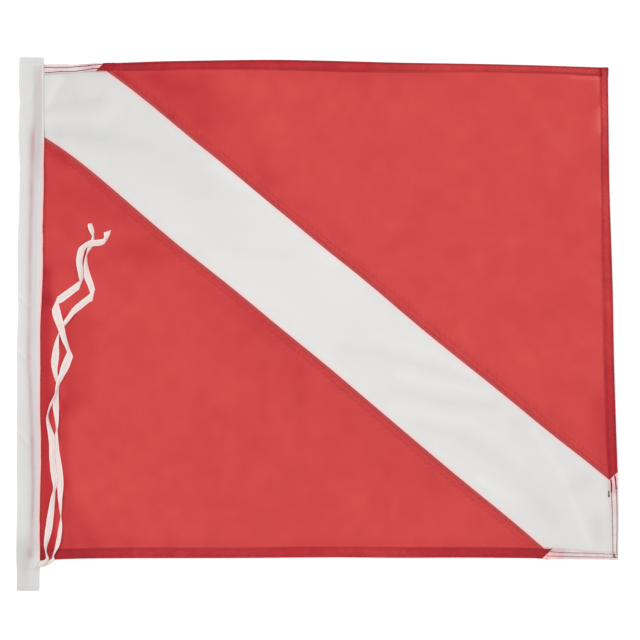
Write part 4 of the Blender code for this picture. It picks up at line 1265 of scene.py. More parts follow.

# Each row is a rung across the ribbon as it is seen from above, from its tip to the sleeve: the left or upper
# edge, the right or lower edge, how far it is raised. FOLD turns the ribbon over on a sharp crease. TWIST
# marks where it is drawn together and stands on its edge; rungs() passes over it, and the ribbon stands where its rungs
# are narrow.
FOLD, TWIST = "fold", "twist"
TAIL_A = [
    (88.05, 223.6, 91.9, 223.3, 0), (88.0, 227.0, 93.3, 226.7, 0), (89.4, 231.1, 94.3, 231.0, 0),
    (91.7, 235.0, 94.2, 235.0, 0), (92.1, 236.6, 94.3, 237.0, 0), TWIST, (90.8, 240.5, 94.3, 240.5, 0),
    (89.2, 244.0, 93.8, 244.0, 0), (87.7, 247.8, 91.9, 247.6, 0), (86.8, 252.3, 88.8, 252.0, 0),
    (85.9, 255.6, 87.4, 255.2, 0), TWIST, (84.9, 258.8, 87.3, 259.0, 0), (84.0, 263.5, 87.6, 263.0, 0),
    (83.6, 268.3, 88.6, 268.0, 0), (83.7, 274.0, 90.2, 273.8, 0), (84.8, 279.0, 92.0, 278.8, 0),
    (86.8, 283.5, 93.4, 283.0, 0), (88.2, 287.0, 94.5, 286.8, 0), (89.9, 291.8, 95.0, 289.0, 0),
    (91.3, 296.2, 95.05, 289.1, 0), (92.6, 300.6, 95.1, 289.2, 0.25), FOLD,
    (91.8, 292.0, 91.7, 301.2, 0.5), (88.3, 295.2, 90.2, 302.0, 0.5), (84.8, 297.8, 88.0, 303.5, 0.45),
    (78.0, 303.2, 82.6, 307.9, 0.2), (73.0, 307.8, 77.5, 311.8, 0), (69.8, 312.2, 73.8, 315.2, 0),
    (66.6, 317.1, 70.3, 319.6, 0), (63.4, 321.4, 66.9, 323.7, 0), (61.4, 325.2, 63.8, 327.0, 0),
    (60.1, 329.2, 61.2, 329.8, 0), TWIST, (59.0, 332.6, 59.8, 333.2, 0), (57.2, 336.3, 59.2, 337.0, 0),
    (55.4, 341.0, 59.1, 341.5, 0), (53.9, 346.0, 59.1, 346.6, 0), (52.6, 352.0, 59.2, 352.2, 0),
    (51.6, 358.0, 58.9, 358.2, 0), (51.2, 363.0, 58.2, 363.6, 0), (52.1, 369.1, 57.6, 369.3, 0),
    (53.5, 375.0, 57.9, 375.0, 0), (55.4, 380.6, 58.7, 380.6, 0), (57.3, 386.0, 59.1, 386.0, 0), TWIST,
    (56.6, 391.0, 58.9, 391.0, 0), (54.6, 397.0, 58.8, 397.0, 0), (53.0, 402.5, 59.0, 402.5, 0),
    (52.9, 408.0, 59.0, 408.0, 0), (53.7, 413.0, 59.0, 413.0, 0), (54.7, 418.3, 59.0, 418.3, 0),
    (55.6, 424.5, 58.5, 424.5, 0), (56.0, 430.5, 57.7, 430.5, 0), TWIST, (54.2, 436.0, 58.2, 436.5, 0),
    (52.6, 443.0, 58.7, 443.5, 0), (52.9, 450.0, 59.4, 450.5, 0), (53.8, 457.0, 60.4, 457.0, 0),
    (55.0, 465.0, 61.8, 465.0, 0), (56.4, 473.0, 62.9, 473.0, 0), (57.2, 480.0, 63.5, 480.0, 0),
    (57.2, 487.0, 63.5, 487.0, 0), (57.6, 492.0, 63.1, 492.2, 0), (57.8, 497.1, 62.5, 497.1, 0),
    (58.5, 502.3, 62.2, 502.1, 0), (59.1, 507.3, 62.0, 507.1, 0), (59.8, 512.2, 61.6, 512.1, 0),
    (60.6, 516.8, 61.5, 517.1, 0), TWIST, (59.6, 522.0, 62.1, 522.1, 0), (58.7, 526.9, 62.4, 527.1, 0),
    (57.9, 531.6, 62.1, 532.2, 0), (57.2, 536.5, 61.4, 537.2, 0), (56.2, 541.1, 60.5, 542.2, 0),
    (55.3, 545.8, 58.9, 547.0, 0), (54.1, 550.7, 56.2, 551.4, 0), (52.7, 555.2, 54.0, 556.0, 0), TWIST,
    (51.9, 558.2, 54.9, 559.4, 0), (49.4, 559.8, 52.0, 562.8, 0), (46.0, 560.3, 47.2, 565.4, 0),
    (42.0, 561.0, 42.2, 566.8, 0), (40.2, 560.9, 40.2, 567.3, 0), (38.75, 560.8, 38.75, 567.6, 0),
]
TAIL_B = [
    (103.9, 232.4, 111.0, 230.2, 0), (104.0, 235.0, 109.6, 235.2, 0), (104.1, 237.4, 107.8, 238.9, 0),
    (103.2, 238.9, 105.6, 242.2, 0), (101.3, 239.2, 103.6, 244.4, 0), (98.0, 239.6, 99.8, 245.7, 0),
    (94.5, 240.0, 95.6, 246.2, 0), (91.1, 240.1, 92.2, 246.6, 0), (87.6, 241.5, 89.2, 247.2, 0),
    (84.0, 243.8, 86.9, 247.8, 0), (80.8, 246.2, 85.4, 249.8, 0), (78.4, 249.0, 84.5, 251.8, 0),
    (77.0, 255.0, 83.7, 255.0, 0), (76.2, 260.6, 82.8, 260.6, 0), (76.7, 266.0, 82.8, 266.0, 0),
    (77.8, 271.0, 83.3, 271.4, 0), (78.8, 276.5, 83.4, 275.8, 0), (79.8, 281.0, 83.4, 278.0, 0),
    (79.4, 285.6, 83.45, 278.1, 0), (78.8, 290.0, 83.5, 278.2, 0.25), FOLD,
    (80.6, 280.3, 78.2, 290.2, 0.5), (77.4, 282.6, 76.8, 291.2, 0.5), (74.0, 285.0, 74.6, 292.9, 0.45),
    (70.0, 287.8, 71.6, 295.3, 0.25), (66.4, 290.4, 69.2, 297.1, 0.1), (63.0, 292.8, 66.8, 298.9, 0.3),
    (60.0, 295.0, 62.6, 302.1, 0.5), (58.2, 296.3, 57.8, 304.4, 0.5), (57.8, 296.5, 52.2, 309.2, 0.25), FOLD,
    (52.15, 310.4, 58.6, 301.8, 0), (52.2, 312.0, 59.6, 307.0, 0), (52.5, 314.6, 60.9, 312.1, 0),
    (53.6, 318.2, 62.2, 317.0, 0), (55.2, 322.4, 63.6, 322.2, 0), (57.2, 327.4, 64.7, 327.4, 0),
    (59.0, 332.0, 65.6, 332.0, 0), (60.8, 337.2, 66.7, 337.2, 0), (62.6, 341.9, 67.9, 341.9, 0),
    (64.9, 346.0, 69.3, 346.9, 0), (66.2, 349.6, 71.0, 351.2, 0), (67.0, 352.0, 72.9, 356.0, 0),
    (65.9, 355.0, 72.4, 358.9, 0), (63.8, 359.6, 71.2, 361.9, 0), (61.9, 364.4, 69.6, 366.8, 0),
    (60.3, 369.1, 67.2, 371.2, 0), (59.2, 373.6, 65.0, 375.0, 0), (57.8, 378.5, 62.7, 379.4, 0),
    (56.4, 383.2, 60.0, 384.2, 0), (55.5, 388.2, 58.5, 388.9, 0), (55.1, 393.4, 56.9, 394.0, 0), TWIST,
    (53.0, 397.8, 54.9, 399.0, 0), (50.3, 403.2, 52.3, 404.2, 0), (48.4, 409.0, 50.1, 409.4, 0),
    (47.2, 414.4, 48.7, 414.5, 0), TWIST, (46.4, 418.6, 48.8, 418.6, 0), (46.8, 424.8, 50.6, 424.8, 0),
    (47.7, 431.0, 53.0, 431.0, 0), (48.4, 437.0, 55.0, 437.0, 0), (49.1, 443.5, 55.0, 443.5, 0),
    (49.3, 450.0, 55.0, 450.0, 0), (49.4, 457.0, 55.0, 457.0, 0), (50.0, 464.5, 55.8, 464.5, 0),
    (50.5, 471.0, 56.9, 471.0, 0), (51.7, 479.0, 57.7, 479.0, 0), (53.2, 485.5, 57.0, 486.0, 0),
    (53.0, 491.0, 55.5, 491.2, 0), TWIST, (51.6, 495.3, 55.3, 496.2, 0), (50.4, 500.2, 55.0, 501.2, 0),
    (49.4, 505.2, 54.6, 506.1, 0), (48.4, 510.1, 54.3, 511.1, 0), (47.5, 515.1, 53.8, 516.0, 0),
    (46.6, 520.0, 53.3, 520.9, 0), (46.1, 525.0, 52.7, 525.9, 0), (45.2, 529.9, 51.9, 530.9, 0),
    (44.8, 535.0, 50.7, 535.6, 0), (44.3, 540.1, 49.2, 540.4, 0), (44.2, 545.2, 47.6, 545.2, 0),
    (45.2, 550.3, 46.8, 550.2, 0), (46.0, 555.0, 47.8, 555.1, 0), TWIST, (46.2, 558.0, 49.2, 558.6, 0),
    (44.4, 559.8, 46.7, 563.2, 0), (41.2, 561.0, 42.0, 566.6, 0), (40.0, 560.9, 40.0, 567.3, 0),
    (38.75, 560.8, 38.75, 567.6, 0),
]


def catmull(points, count):
    """`count` places on a smooth curve through the points, evenly spaced on it."""
    p = np.asarray(points, float)
    e = np.vstack([2 * p[0] - p[1], p, 2 * p[-1] - p[-2]])
    out = []
    for i in range(1, len(e) - 2):
        a, b, c, d = e[i - 1], e[i], e[i + 1], e[i + 2]
        for t in np.linspace(0, 1, 10, endpoint=False):
            out.append(0.5 * (2 * b + (c - a) * t + (2 * a - 5 * b + 4 * c - d) * t * t
                              + (3 * b - a - 3 * c + d) * t ** 3))
    out.append(p[-1])
    out = np.array(out)
    step = np.linalg.norm(np.diff(out[:, :4], axis=0), axis=1) / math.sqrt(2)
    s = np.concatenate([[0], np.cumsum(step)])
    w = np.linspace(0, s[-1], max(2, count))
    return np.stack([np.interp(w, s, out[:, i]) for i in range(out.shape[1])], axis=1), s[-1]


def rungs(rows):
    """Even rungs of the whole ribbon: edge 1, edge 2 (always the same edge of the ribbon), raised; and the rows where
    it is creased.
    """
    runs, run, swap = [], [], False
    for r in rows:
        if r == FOLD:
            runs.append(run)
            last = run[-1]
            swap = not swap
            run = [last]
        elif r == TWIST:
            continue
        else:
            lx, ly = at(r[0], r[1])
            rx, ry = at(r[2], r[3])
            one, two = ((rx, ry), (lx, ly)) if swap else ((lx, ly), (rx, ry))
            run.append((one[0], one[1], two[0], two[1], r[4]))
    runs.append(run)
    out, crease_rows = [], []
    for run in runs:
        fine, long = catmull(run, 2)
        fine, _ = catmull(run, int(long / 1.15) + 2)
        if out:
            crease_rows.append(sum(len(o) for o in out) - 1)
            fine = fine[1:]
        out.append(fine)
    return np.vstack(out), crease_rows


def support(x, y):
    """The height of what a ribbon lies on."""
    base = lay(x, y) + CLOTH / 2
    near_edge = y - bottom_y(x)
    hem = (2 * R_FOLD) * smooth(-0.5, 0.1, near_edge) * (1 - smooth(9.2, 11.2, near_edge))
    out = smooth(-1.2, -0.3, near_edge)
    on_cloth = base + hem
    within = smooth(-280.5, -283.0, x) * (1 - smooth(-241.5, -239.0, y))
    return (on_cloth * out + 0.32 * (1 - out)) * (1 - within) + 0.30 * within


class Raster:
    """The heights of a piece that another one lies on."""

    def __init__(self, x0, x1, y0, y1, cell=0.6):
        self.x0, self.y0, self.cell = x0, y0, cell
        self.z = np.full((int((y1 - y0) / cell) + 1, int((x1 - x0) / cell) + 1), -1.0)

    def add(self, p):
        i = np.clip(((p[:, 1] - self.y0) / self.cell).astype(int), 0, self.z.shape[0] - 1)
        j = np.clip(((p[:, 0] - self.x0) / self.cell).astype(int), 0, self.z.shape[1] - 1)
        np.maximum.at(self.z, (i, j), p[:, 2])

    def at(self, x, y):
        i = np.clip(((y - self.y0) / self.cell).astype(int), 1, self.z.shape[0] - 2)
        j = np.clip(((x - self.x0) / self.cell).astype(int), 1, self.z.shape[1] - 2)
        best = self.z[i, j]
        for di in (-1, 0, 1):
            for dj in (-1, 0, 1):
                best = np.maximum(best, self.z[i + di, j + dj])
        return best


def ease(a, sigma):
    k = np.arange(-int(3 * sigma) - 1, int(3 * sigma) + 2)
    w = np.exp(-0.5 * (k / sigma) ** 2)
    w /= w.sum()
    pad = len(k) // 2
    return np.convolve(np.pad(a, pad, mode="edge"), w, mode="valid")


def ribbon(name, rows, low_parts, below=None, seed=5, stand=2.0):
    """A tail of the tie: a limp ribbon of one width all along, flat, curled, twisted or creased as it lies."""
    g, folds = rungs(rows)
    one, two, raised = g[:, 0:2], g[:, 2:4], g[:, 4]
    mid = (one + two) / 2
    flat = np.linalg.norm(two - one, axis=1)
    n = len(g)
    across = (two - one) / (flat[:, None] + 1e-9)
    wide = 0.84 * RIBBON_W
    rise = np.sqrt(np.clip(wide ** 2 - flat ** 2, 0, None))
    rise = stand * (1 - np.exp(-rise / stand))
    for fx in low_parts:                       # under the other tail it is pressed flat
        rise = rise * (1 - 0.92 * np.exp(-((mid[:, 1] - fx[0]) / fx[1]) ** 2))
    near_fold = np.ones(n)
    for k in folds:                            # and on a crease
        near_fold *= 1 - np.exp(-((np.arange(n) - k) / 5.0) ** 2)
    rise = ease(rise * near_fold, 1.6)
    cols = 11
    u = np.linspace(-1, 1, cols)
    chord = np.sqrt(flat ** 2 + rise ** 2)
    spare = np.clip(RIBBON_W / np.maximum(chord, 3.0) - 1, 0, 0.5)
    sag = 0.75 * (1 - np.exp(-chord * np.sqrt(0.375 * spare) / 0.75)) * near_fold
    sag = ease(sag, 2.0)
    # which side of the ribbon is up follows from the way it runs
    way = np.gradient(ease2(mid, 1.5), axis=0)
    way /= np.linalg.norm(way, axis=1)[:, None] + 1e-9
    turn = way[:, 0] * across[:, 1] - way[:, 1] * across[:, 0]
    face = np.tanh(3.0 * turn * flat / np.maximum(chord, 1e-6))
    place = np.zeros((n, cols, 3))
    s = np.cumsum(np.concatenate([[0], np.linalg.norm(np.diff(mid, axis=0), axis=1)]))
    for c in range(cols):
        w = u[c] / 2
        xy = mid + (two - one) * w
        bow = (1 - u[c] ** 2)
        # a curl: the middle up, with a soft waver, and out sideways where the ribbon stands
        z = rise * (0.5 - w) + sag * bow * np.abs(face)
        side = (1 - np.abs(face)) * sag * bow * 0.8
        xy = xy + np.stack([-way[:, 1], way[:, 0]], axis=1) * side[:, None] * 0.6
        wav = 0.10 * noise(s, np.full(n, u[c] * 3.0), 7.0, seed, 0.8) + 0.05 * noise(s, np.full(n, u[c] * 3), 3.2, seed + 1)
        place[:, c, 0:2] = xy
        place[:, c, 2] = z + wav
    # rests on the cloth, or on the other tail
    low = np.full(n, -9.0)
    for c in range(cols):
        x, y = place[:, c, 0], place[:, c, 1]
        need = support(x, y) + RIBBON_T / 2 + 0.06
        if below is not None:
            need = np.maximum(need, below.at(x, y) + RIBBON_T / 2 + 0.10)
        low = np.maximum(low, need - place[:, c, 2])
    grown = low.copy()
    for k in range(1, 5):
        grown[k:] = np.maximum(grown[k:], low[:-k] - 0.05 * k * k)
        grown[:-k] = np.maximum(grown[:-k], low[k:] - 0.05 * k * k)
    lift = np.maximum(ease(grown, 2.2), low)
    place[:, :, 2] += (lift + ease(raised, 1.5))[:, None]
    # its edges come down on what is below where it lies flat
    calm = np.clip(1 - rise / 0.7, 0, 1)
    for c in range(cols):
        x, y = place[:, c, 0], place[:, c, 1]
        need = support(x, y) + RIBBON_T / 2 + 0.05
        if below is not None:
            need = np.maximum(need, below.at(x, y) + RIBBON_T / 2 + 0.04)
        gap = np.clip(place[:, c, 2] - need, 0, 0.9)
        place[:, c, 2] -= ease(gap * calm, 1.5) * 0.85 * abs(u[c]) ** 2.5 * (gap > 0.02)
    verts = place.reshape(-1, 3)
    faces = [[r * cols + c, r * cols + c + 1, (r + 1) * cols + c + 1, (r + 1) * cols + c]
             for r in range(n - 1) for c in range(cols - 1)]
    run = np.repeat(s[:, None], cols, axis=1).ravel() * 0.001
    over = np.repeat(u[None] * RIBBON_W / 2, n, axis=0).ravel() * 0.001
    past = 1 - smooth(-1.0, 1.5, verts[:, 1] - bottom_y(verts[:, 0]))      # where no red lies below it
    obj = make_object(name, verts, faces, {"rest": verts * 0.001, "run": run, "over": over, "past": past})
    thicken(obj, RIBBON_T)
    path = place[:, cols // 2][::-1]
    return obj, path, place


def ease2(a, sigma):
    return np.stack([ease(a[:, i], sigma) for i in range(a.shape[1])], axis=1)


tail_a, path_a, place_a = ribbon("tie_tail_a", TAIL_A, [(float(at(62, 328)[1]), 9), (float(at(57, 386)[1]), 9),
                                                        (float(at(90, 243)[1]), 6)], seed=81)
heights = Raster(-300, -200, -260, 115)
t = np.linspace(0, 1, 4)
for r in range(len(place_a) - 1):
    for k in t:
        heights.add(place_a[r] * (1 - k) + place_a[r + 1] * k + np.array((0, 0, RIBBON_T / 2)))
mids = (place_a[:, 1:] + place_a[:, :-1]) / 2
heights.add(mids.reshape(-1, 3) + np.array((0, 0, RIBBON_T / 2)))
tail_b, path_b, place_b = ribbon("tie_tail_b", TAIL_B, [], below=heights, seed=91)

# the tack that holds the tie in the foot of the sleeve
lo_t, hi_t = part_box("tie_tack_thread")
tx0, tx1, ty0, ty1 = lo_t.x * 1000, hi_t.x * 1000, lo_t.y * 1000, hi_t.y * 1000
tack = []
for k in range(5):
    f = (k + 0.5) / 5
    y = ty0 + (ty1 - ty0) * f
    x0, x1 = tx0 + 0.2, tx1 - 0.2
    tack.append(((x0 + x1) / 2, y, (x1 - x0), (0.9 if k % 2 else -0.9)))
tack_mid = np.array([[a, b, float(sleeve_top(a, b)[0]) + 0.12 + 0.12] for a, b, _, _ in tack])
tack_way = np.array([[1.0, 0.25 * w, 0.0] for _, _, _, w in tack])
sewn["tie_tack_thread"] = stitches("stitches_tie_tack", [(tack_mid, tack_way, 1.0)], radius=0.19)

# ---------------------------------------------------------------- materials


def material(name):
    m = bpy.data.materials.new(name)
    m.use_nodes = True
    nt = m.node_tree
    bsdf = next(n for n in nt.nodes if n.type == "BSDF_PRINCIPLED")
    return m, nt, bsdf


def math_node(nt, op, a, b=None):
    n = nt.nodes.new("ShaderNodeMath")
    n.operation = op
    for i, v in enumerate((a, b)):
        if v is None:
            continue
        if hasattr(v, "is_output"):
            nt.links.new(v, n.inputs[i])
        else:
            n.inputs[i].default_value = v
    return n.outputs[0]


def attribute(nt, key, vector=False):
    n = nt.nodes.new("ShaderNodeAttribute")
    n.attribute_type = "GEOMETRY"
    n.attribute_name = key
    return n.outputs["Vector" if vector else "Fac"]


def noise_node(nt, vector, scale, detail=2.0, rough=0.5):
    n = nt.nodes.new("ShaderNodeTexNoise")
    n.inputs["Scale"].default_value = scale
    n.inputs["Detail"].default_value = detail
    n.inputs["Roughness"].default_value = rough
    nt.links.new(vector, n.inputs["Vector"])
    return n.outputs["Fac"]


def mix_colour(nt, fac, a, b):
    n = nt.nodes.new("ShaderNodeMix")
    n.data_type = "RGBA"
    ins = [s for s in n.inputs if s.enabled or True]
    fac_in = next(s for s in n.inputs if s.name == "Factor" and s.type == "VALUE")
    a_in = next(s for s in n.inputs if s.name == "A" and s.type == "RGBA")
    b_in = next(s for s in n.inputs if s.name == "B" and s.type == "RGBA")
    for s, v in ((fac_in, fac), (a_in, a), (b_in, b)):
        if hasattr(v, "is_output"):
            nt.links.new(v, s)
        else:
            s.default_value = v if not isinstance(v, tuple) else (*v[:3], 1.0)
    return next(s for s in n.outputs if s.type == "RGBA")


def scaled(nt, colour, value):
    n = nt.nodes.new("ShaderNodeVectorMath")
    n.operation = "SCALE"
    nt.links.new(colour, n.inputs[0])
    nt.links.new(value, n.inputs["Scale"])
    return n.outputs["Vector"]


def bump(nt, bsdf, height, strength, distance):
    n = nt.nodes.new("ShaderNodeBump")
    n.inputs["Strength"].default_value = strength
    n.inputs["Distance"].default_value = distance
    nt.links.new(height, n.inputs["Height"])
    nt.links.new(n.outputs["Normal"], bsdf.inputs["Normal"])


def finish_cloth(bsdf, rough, sheen, spec):
    bsdf.inputs["Roughness"].default_value = rough
    bsdf.inputs["Sheen Weight"].default_value = sheen
    bsdf.inputs["Sheen Roughness"].default_value = 0.45
    bsdf.inputs["Specular IOR Level"].default_value = spec


def curve_of(nt, value, table):
    """A share read off a table of (place, share), with straight lines between its rows."""
    lo, hi = table[0][0], table[-1][0]
    n = nt.nodes.new("ShaderNodeMapRange")
    n.inputs["From Min"].default_value, n.inputs["From Max"].default_value = lo, hi
    nt.links.new(value, n.inputs["Value"])
    r = nt.nodes.new("ShaderNodeValToRGB")
    ramp = r.color_ramp
    while len(ramp.elements) > 1:
        ramp.elements.remove(ramp.elements[-1])
    for i, (where, share) in enumerate(table):
        at_ = (where - lo) / (hi - lo)
        e = ramp.elements[0] if i == 0 else ramp.elements.new(at_)
        e.position = at_
        e.color = (share, share, share, 1)
    nt.links.new(n.outputs["Result"], r.inputs["Fac"])
    return r.outputs["Color"]


def nylon(name, single, many, period=0.50, vary=0.05, rough=0.56, sheen=0.05, spec=0.25, tint=None, band=None,
          edge=None):
    m, nt, bsdf = material(name)
    rest = attribute(nt, "rest", True)
    sep = nt.nodes.new("ShaderNodeSeparateXYZ")
    nt.links.new(rest, sep.inputs[0])
    k = 2 * math.pi / (period * 0.001)
    sx = math_node(nt, "SINE", math_node(nt, "MULTIPLY", sep.outputs["X"], k))
    sy = math_node(nt, "SINE", math_node(nt, "MULTIPLY", sep.outputs["Y"], k))
    over = math_node(nt, "MULTIPLY", sx, sy)
    yarn = math_node(nt, "ADD", math_node(nt, "MULTIPLY", math_node(nt, "ADD", sx, sy), 0.25), math_node(nt, "MULTIPLY", over, 0.5))
    # yarns differ a little from each other, and the dye a little from place to place
    slub = nt.nodes.new("ShaderNodeMapping")
    slub.inputs["Scale"].default_value = (1.0, 14.0, 1.0)
    nt.links.new(rest, slub.inputs["Vector"])
    slub2 = nt.nodes.new("ShaderNodeMapping")
    slub2.inputs["Scale"].default_value = (14.0, 1.0, 1.0)
    nt.links.new(rest, slub2.inputs["Vector"])
    n1 = noise_node(nt, slub.outputs["Vector"], 60.0, 2.0)
    n2 = noise_node(nt, slub2.outputs["Vector"], 60.0, 2.0)
    n3 = noise_node(nt, rest, 14.0, 3.0)
    n4 = noise_node(nt, rest, 900.0, 1.0)
    total = math_node(nt, "ADD", math_node(nt, "ADD", n1, n2), math_node(nt, "ADD", math_node(nt, "MULTIPLY", n3, 1.6), math_node(nt, "MULTIPLY", n4, 0.7)))
    value = math_node(nt, "ADD", math_node(nt, "MULTIPLY", math_node(nt, "SUBTRACT", total, 2.15), vary), 1.0)
    value = math_node(nt, "ADD", value, attribute(nt, "shade"))
    value = math_node(nt, "ADD", value, math_node(nt, "MULTIPLY", yarn, 0.02))
    if many is not None and edge is not None:
        colour = mix_colour(nt, attribute(nt, "dense"), single, many)
        # painted reflection: the white beside a seam mixed towards the pale pink edge colour
        colour = mix_colour(nt, curve_of(nt, attribute(nt, "band"), band), colour, edge)
    elif many is not None:
        dense = attribute(nt, "dense")
        deep = math_node(nt, "MAXIMUM", dense, curve_of(nt, attribute(nt, "band"), band))
        colour = mix_colour(nt, deep, single, many)
        # past 1 the red goes darker still, for the deepest hems and the painted shade and shadow; under 0, from the
        # painted highlights, it goes to a paler red
        colour = mix_colour(nt, math_node(nt, "SUBTRACT", dense, 1.0), colour, (0.33, 0.004, 0.013))
        colour = mix_colour(nt, math_node(nt, "MULTIPLY", dense, -1.0), colour, (0.74, 0.13, 0.12))
        colour = mix_colour(nt, curve_of(nt, attribute(nt, "band"), RED_EDGE), colour, (0.505, 0.092, 0.094))
    else:
        colour = mix_colour(nt, attribute(nt, "tint"), single, tint)
        # painted reflection: the sleeve's sewn edge over the red mixed towards a pale pink
        colour = mix_colour(nt, attribute(nt, "painted_rim"), colour, edge)
    nt.links.new(scaled(nt, colour, value), bsdf.inputs["Base Color"])
    wrinkle = noise_node(nt, rest, 320.0, 3.0)
    h = math_node(nt, "ADD", math_node(nt, "MULTIPLY", yarn, 0.25), math_node(nt, "MULTIPLY", wrinkle, 0.9))
    bump(nt, bsdf, h, 0.35, 0.00012)
    finish_cloth(bsdf, rough, sheen, spec)
    return m


def thread_material(name, colour, light=None):
    m, nt, bsdf = material(name)
    rest = attribute(nt, "rest", True)
    sep = nt.nodes.new("ShaderNodeSeparateXYZ")
    nt.links.new(rest, sep.inputs[0])
    k = 2 * math.pi / 0.00042
    diag = math_node(nt, "ADD", sep.outputs["X"], math_node(nt, "ADD", sep.outputs["Y"], sep.outputs["Z"]))
    ply = math_node(nt, "SINE", math_node(nt, "MULTIPLY", diag, k))
    n = noise_node(nt, rest, 500.0, 2.0)
    value = math_node(nt, "ADD", math_node(nt, "ADD", math_node(nt, "MULTIPLY", math_node(nt, "SUBTRACT", n, 0.5), 0.25), 1.0),
                      math_node(nt, "MULTIPLY", ply, 0.06))
    base = mix_colour(nt, n, colour, tuple(min(1.0, c * 0.9) for c in colour))
    if light is not None:
        base = mix_colour(nt, attribute(nt, "tone"), base, light)
    nt.links.new(scaled(nt, base, value), bsdf.inputs["Base Color"])
    bump(nt, bsdf, ply, 0.5, 0.00006)
    finish_cloth(bsdf, 0.5, 0.1, 0.35)
    return m


def ribbon_material(name, colour):
    m, nt, bsdf = material(name)
    rest, run, over = attribute(nt, "rest", True), attribute(nt, "run"), attribute(nt, "over")
    ribs = math_node(nt, "SINE", math_node(nt, "MULTIPLY", run, 2 * math.pi / 0.00055))
    fine = math_node(nt, "SINE", math_node(nt, "MULTIPLY", over, 2 * math.pi / 0.00040))
    edge = math_node(nt, "GREATER_THAN", math_node(nt, "ABSOLUTE", over), (RIBBON_W / 2 - 1.2) * 0.001)
    n = noise_node(nt, rest, 260.0, 2.0)
    big = noise_node(nt, rest, 40.0, 2.0)
    value = math_node(nt, "ADD", math_node(nt, "MULTIPLY", math_node(nt, "SUBTRACT", n, 0.5), 0.05), 1.0)
    value = math_node(nt, "ADD", value, math_node(nt, "MULTIPLY", math_node(nt, "SUBTRACT", big, 0.5), 0.06))
    value = math_node(nt, "ADD", value, math_node(nt, "MULTIPLY", ribs, 0.012))
    base = mix_colour(nt, big, colour, tuple(c * 0.985 for c in colour))
    # painted highlight: the outer 1.2 mm of each edge made a bright pink cream
    base = mix_colour(nt, edge, base, (0.985, 0.725, 0.695))
    base = mix_colour(nt, attribute(nt, "past"), base, (0.722, 0.655, 0.592))
    nt.links.new(scaled(nt, base, value), bsdf.inputs["Base Color"])
    h = math_node(nt, "ADD", math_node(nt, "MULTIPLY", ribs, 0.6), math_node(nt, "MULTIPLY", fine, 0.25))
    bump(nt, bsdf, h, 0.35, 0.00005)
    finish_cloth(bsdf, 0.42, 0.12, 0.45)
    return m


RED, RED_MANY = (0.607, 0.0535, 0.0515), (0.452, 0.014, 0.022)
# how far the red's own edge along a seam is mixed towards a dull brownish red: millimetres, share
RED_EDGE = [(-1.0, 0.9), (0.6, 0.85), (1.3, 0.72), (2.1, 0.36), (3.0, 0.0), (4.0, 0.0)]
WHITE = (0.722, 0.715, 0.702)
# how deep the red is beside a seam: millimetres, share
RED_BAND = [(0.0, 0.25), (1.2, 0.36), (2.2, 0.48), (3.2, 0.50), (4.4, 0.38), (6.0, 0.27), (9.0, 0.24), (12.0, 0.15),
            (17.0, 0.0)]
# painted reflection: how far the white beside a seam is mixed towards a pale pink, as red light thrown on it:
# millimetres, share
WHITE_BAND = [(-4.5, 0.0), (-3.4, 0.07), (-2.4, 0.30), (-1.5, 0.66), (-0.7, 0.95), (2.0, 0.95)]
mat_red = nylon("red_nylon_cloth", RED, RED_MANY, band=RED_BAND)
# the white's edge colour is the painted pink reflection beside the seams
mat_white = nylon("white_nylon_cloth", WHITE, (0.80, 0.43, 0.46), vary=0.02, band=WHITE_BAND, edge=(0.985, 0.575, 0.56))
# the sleeve's edge colour is the painted pink reflection along its sewn edge
mat_sleeve = nylon("white_sleeve_cloth", (0.668, 0.662, 0.655), None, vary=0.03, tint=(0.555, 0.40, 0.41),
                   edge=(0.93, 0.50, 0.48))
mat_ribbon = ribbon_material("white_ribbon", (0.758, 0.652, 0.634))
mat_thread_red = thread_material("red_sewing_thread", (0.10, 0.016, 0.020), light=(0.49, 0.024, 0.030))
mat_thread_white = thread_material("white_sewing_thread", (0.66, 0.65, 0.64))


def give(obj, mat):
    obj.data.materials.clear()
    obj.data.materials.append(mat)


for obj in (upper_panel, lower_panel):
    give(obj, mat_red)
give(stripe_panel, mat_white)
give(sleeve, mat_sleeve)
give(tail_a, mat_ribbon)
give(tail_b, mat_ribbon)
for node, obj in sewn.items():
    give(obj, mat_thread_white if node.startswith(("sleeve", "tie")) else mat_thread_red)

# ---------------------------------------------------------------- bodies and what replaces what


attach(sleeve, "sleeve")
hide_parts("hoist_sleeve")
for node in ("sleeve_seam_thread", "sleeve_top_hem_thread", "sleeve_bottom_hem_thread", "tie_tack_thread"):
    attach(sewn[node], "sleeve")
    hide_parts(node)

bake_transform(lower_panel)
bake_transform(stripe_panel)
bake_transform(upper_panel)
for obj, node, slot in ((lower_panel, "lower_red_panel", "red_nylon"), (stripe_panel, "white_stripe_panel", "white_nylon"),
                        (upper_panel, "upper_red_panel", "red_nylon")):
    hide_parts(node)
for node in thread:
    obj = sewn[node]
    if node.startswith("upper_seam") or node.endswith("_red"):
        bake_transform(obj)
    else:
        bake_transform(obj)
    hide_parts(node)

for obj, node in ((tail_a, "tie_ribbon_tail_a"), (tail_b, "tie_ribbon_tail_b")):
    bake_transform(obj)
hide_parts("tie_ribbon_tail_a", "tie_ribbon_fold")
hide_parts("tie_ribbon_tail_b")


def shoelace(loop):
    p = np.asarray(loop, float)
    q = np.roll(p, -1, axis=0)
    return abs(float((p[:, 0] * q[:, 1] - p[:, 1] * q[:, 0]).sum())) / 2e6


def outline(panel_sides):
    pts = []
    for p in panel_sides:
        pts.extend(np.asarray(p)[:-1].tolist())
    return pts


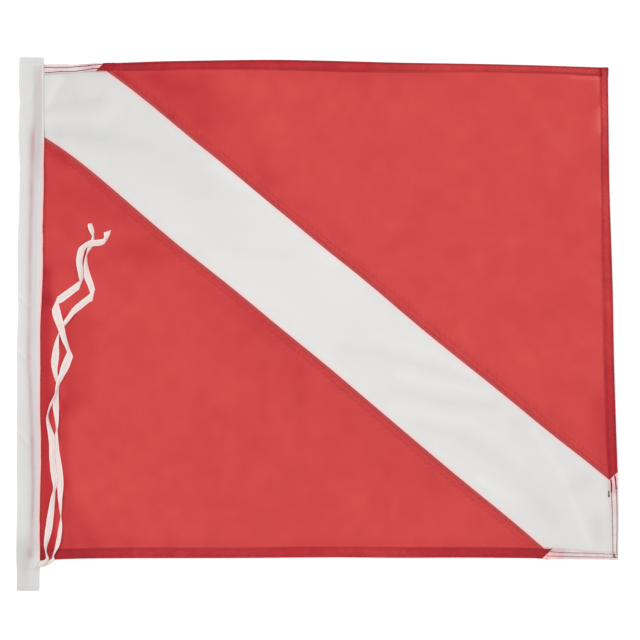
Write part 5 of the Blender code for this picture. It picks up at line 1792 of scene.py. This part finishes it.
area_upper = shoelace(outline([top_tuck, top_red, fly_red, fly_tuck, u_line[::-1]]))
area_lower = shoelace(outline([l_line, bottom_tuck, bottom_red, raw_low]))
area_stripe = shoelace(outline([top_white, np.array(under_u), fly_white, bottom_white, np.array(under_l), raw_white]))
area_upper += (0.516 + 0.415) * 0.0145 + 0.66 * 0.0075
area_lower += 0.525 * 0.0145 + 0.66 * 0.0075
area_stripe += (0.075 + 0.088 + 0.077) * 0.0145
for obj, path, long in ((tail_a, path_a, 0.380), (tail_b, path_b, 0.388)):
    [tuple(float(c) * 0.001 for c in p) for p in path[::2]]

# ---------------------------------------------------------------- floor, light, camera

bpy.ops.mesh.primitive_plane_add(size=9.0, location=(0, 0, -0.0002))
floor = bpy.context.object
floor.name = "floor"
fm, fnt, fb = material("pale_floor")
fb.inputs["Base Color"].default_value = (0.90, 0.90, 0.90, 1)
fb.inputs["Roughness"].default_value = 0.9
fb.inputs["Specular IOR Level"].default_value = 0.1
fb.inputs["Emission Color"].default_value = (1, 1, 1, 1)
fb.inputs["Emission Strength"].default_value = 0.30
give(floor, fm)

world = bpy.data.worlds.new("studio")
bpy.context.scene.world = world
world.use_nodes = True
background = next(n for n in world.node_tree.nodes if n.type == "BACKGROUND")
background.inputs["Color"].default_value = (1, 1, 1, 1)
background.inputs["Strength"].default_value = 0.85


def area_light(name, where, target, size, power):
    data = bpy.data.lights.new(name, "AREA")
    data.shape = "RECTANGLE"
    data.size, data.size_y = size
    data.energy = power
    obj = bpy.data.objects.new(name, data)
    bpy.context.scene.collection.objects.link(obj)
    obj.location = where
    obj.rotation_euler = (Vector(target) - Vector(where)).to_track_quat("-Z", "Y").to_euler()
    return obj


area_light("key", (-3.0, 2.2, 2.9), (0, 0, 0), (2.4, 2.4), 67.5)
area_light("fill", (1.2, -1.0, 3.4), (0, 0, 0), (2.5, 2.5), 11.0)

DISTANCE = 5.0
camera_data = bpy.data.cameras.new("camera")
camera = bpy.data.objects.new("camera", camera_data)
bpy.context.scene.collection.objects.link(camera)
camera_data.type = "PERSP"
camera_data.sensor_width = 36.0
camera_data.lens = 36.0 * DISTANCE / (640 * K * 0.001)
camera_data.clip_end = 100.0
middle = at(320, 320)
camera.location = (float(middle[0]) * 0.001, float(middle[1]) * 0.001, DISTANCE)
camera.rotation_euler = (0.0, 0.0, TURN)
bpy.context.scene.camera = camera

scene = bpy.context.scene
scene.view_settings.view_transform = "Standard"
scene.view_settings.look = "None"
scene.view_settings.exposure = 0.0
scene.view_settings.gamma = 1.0
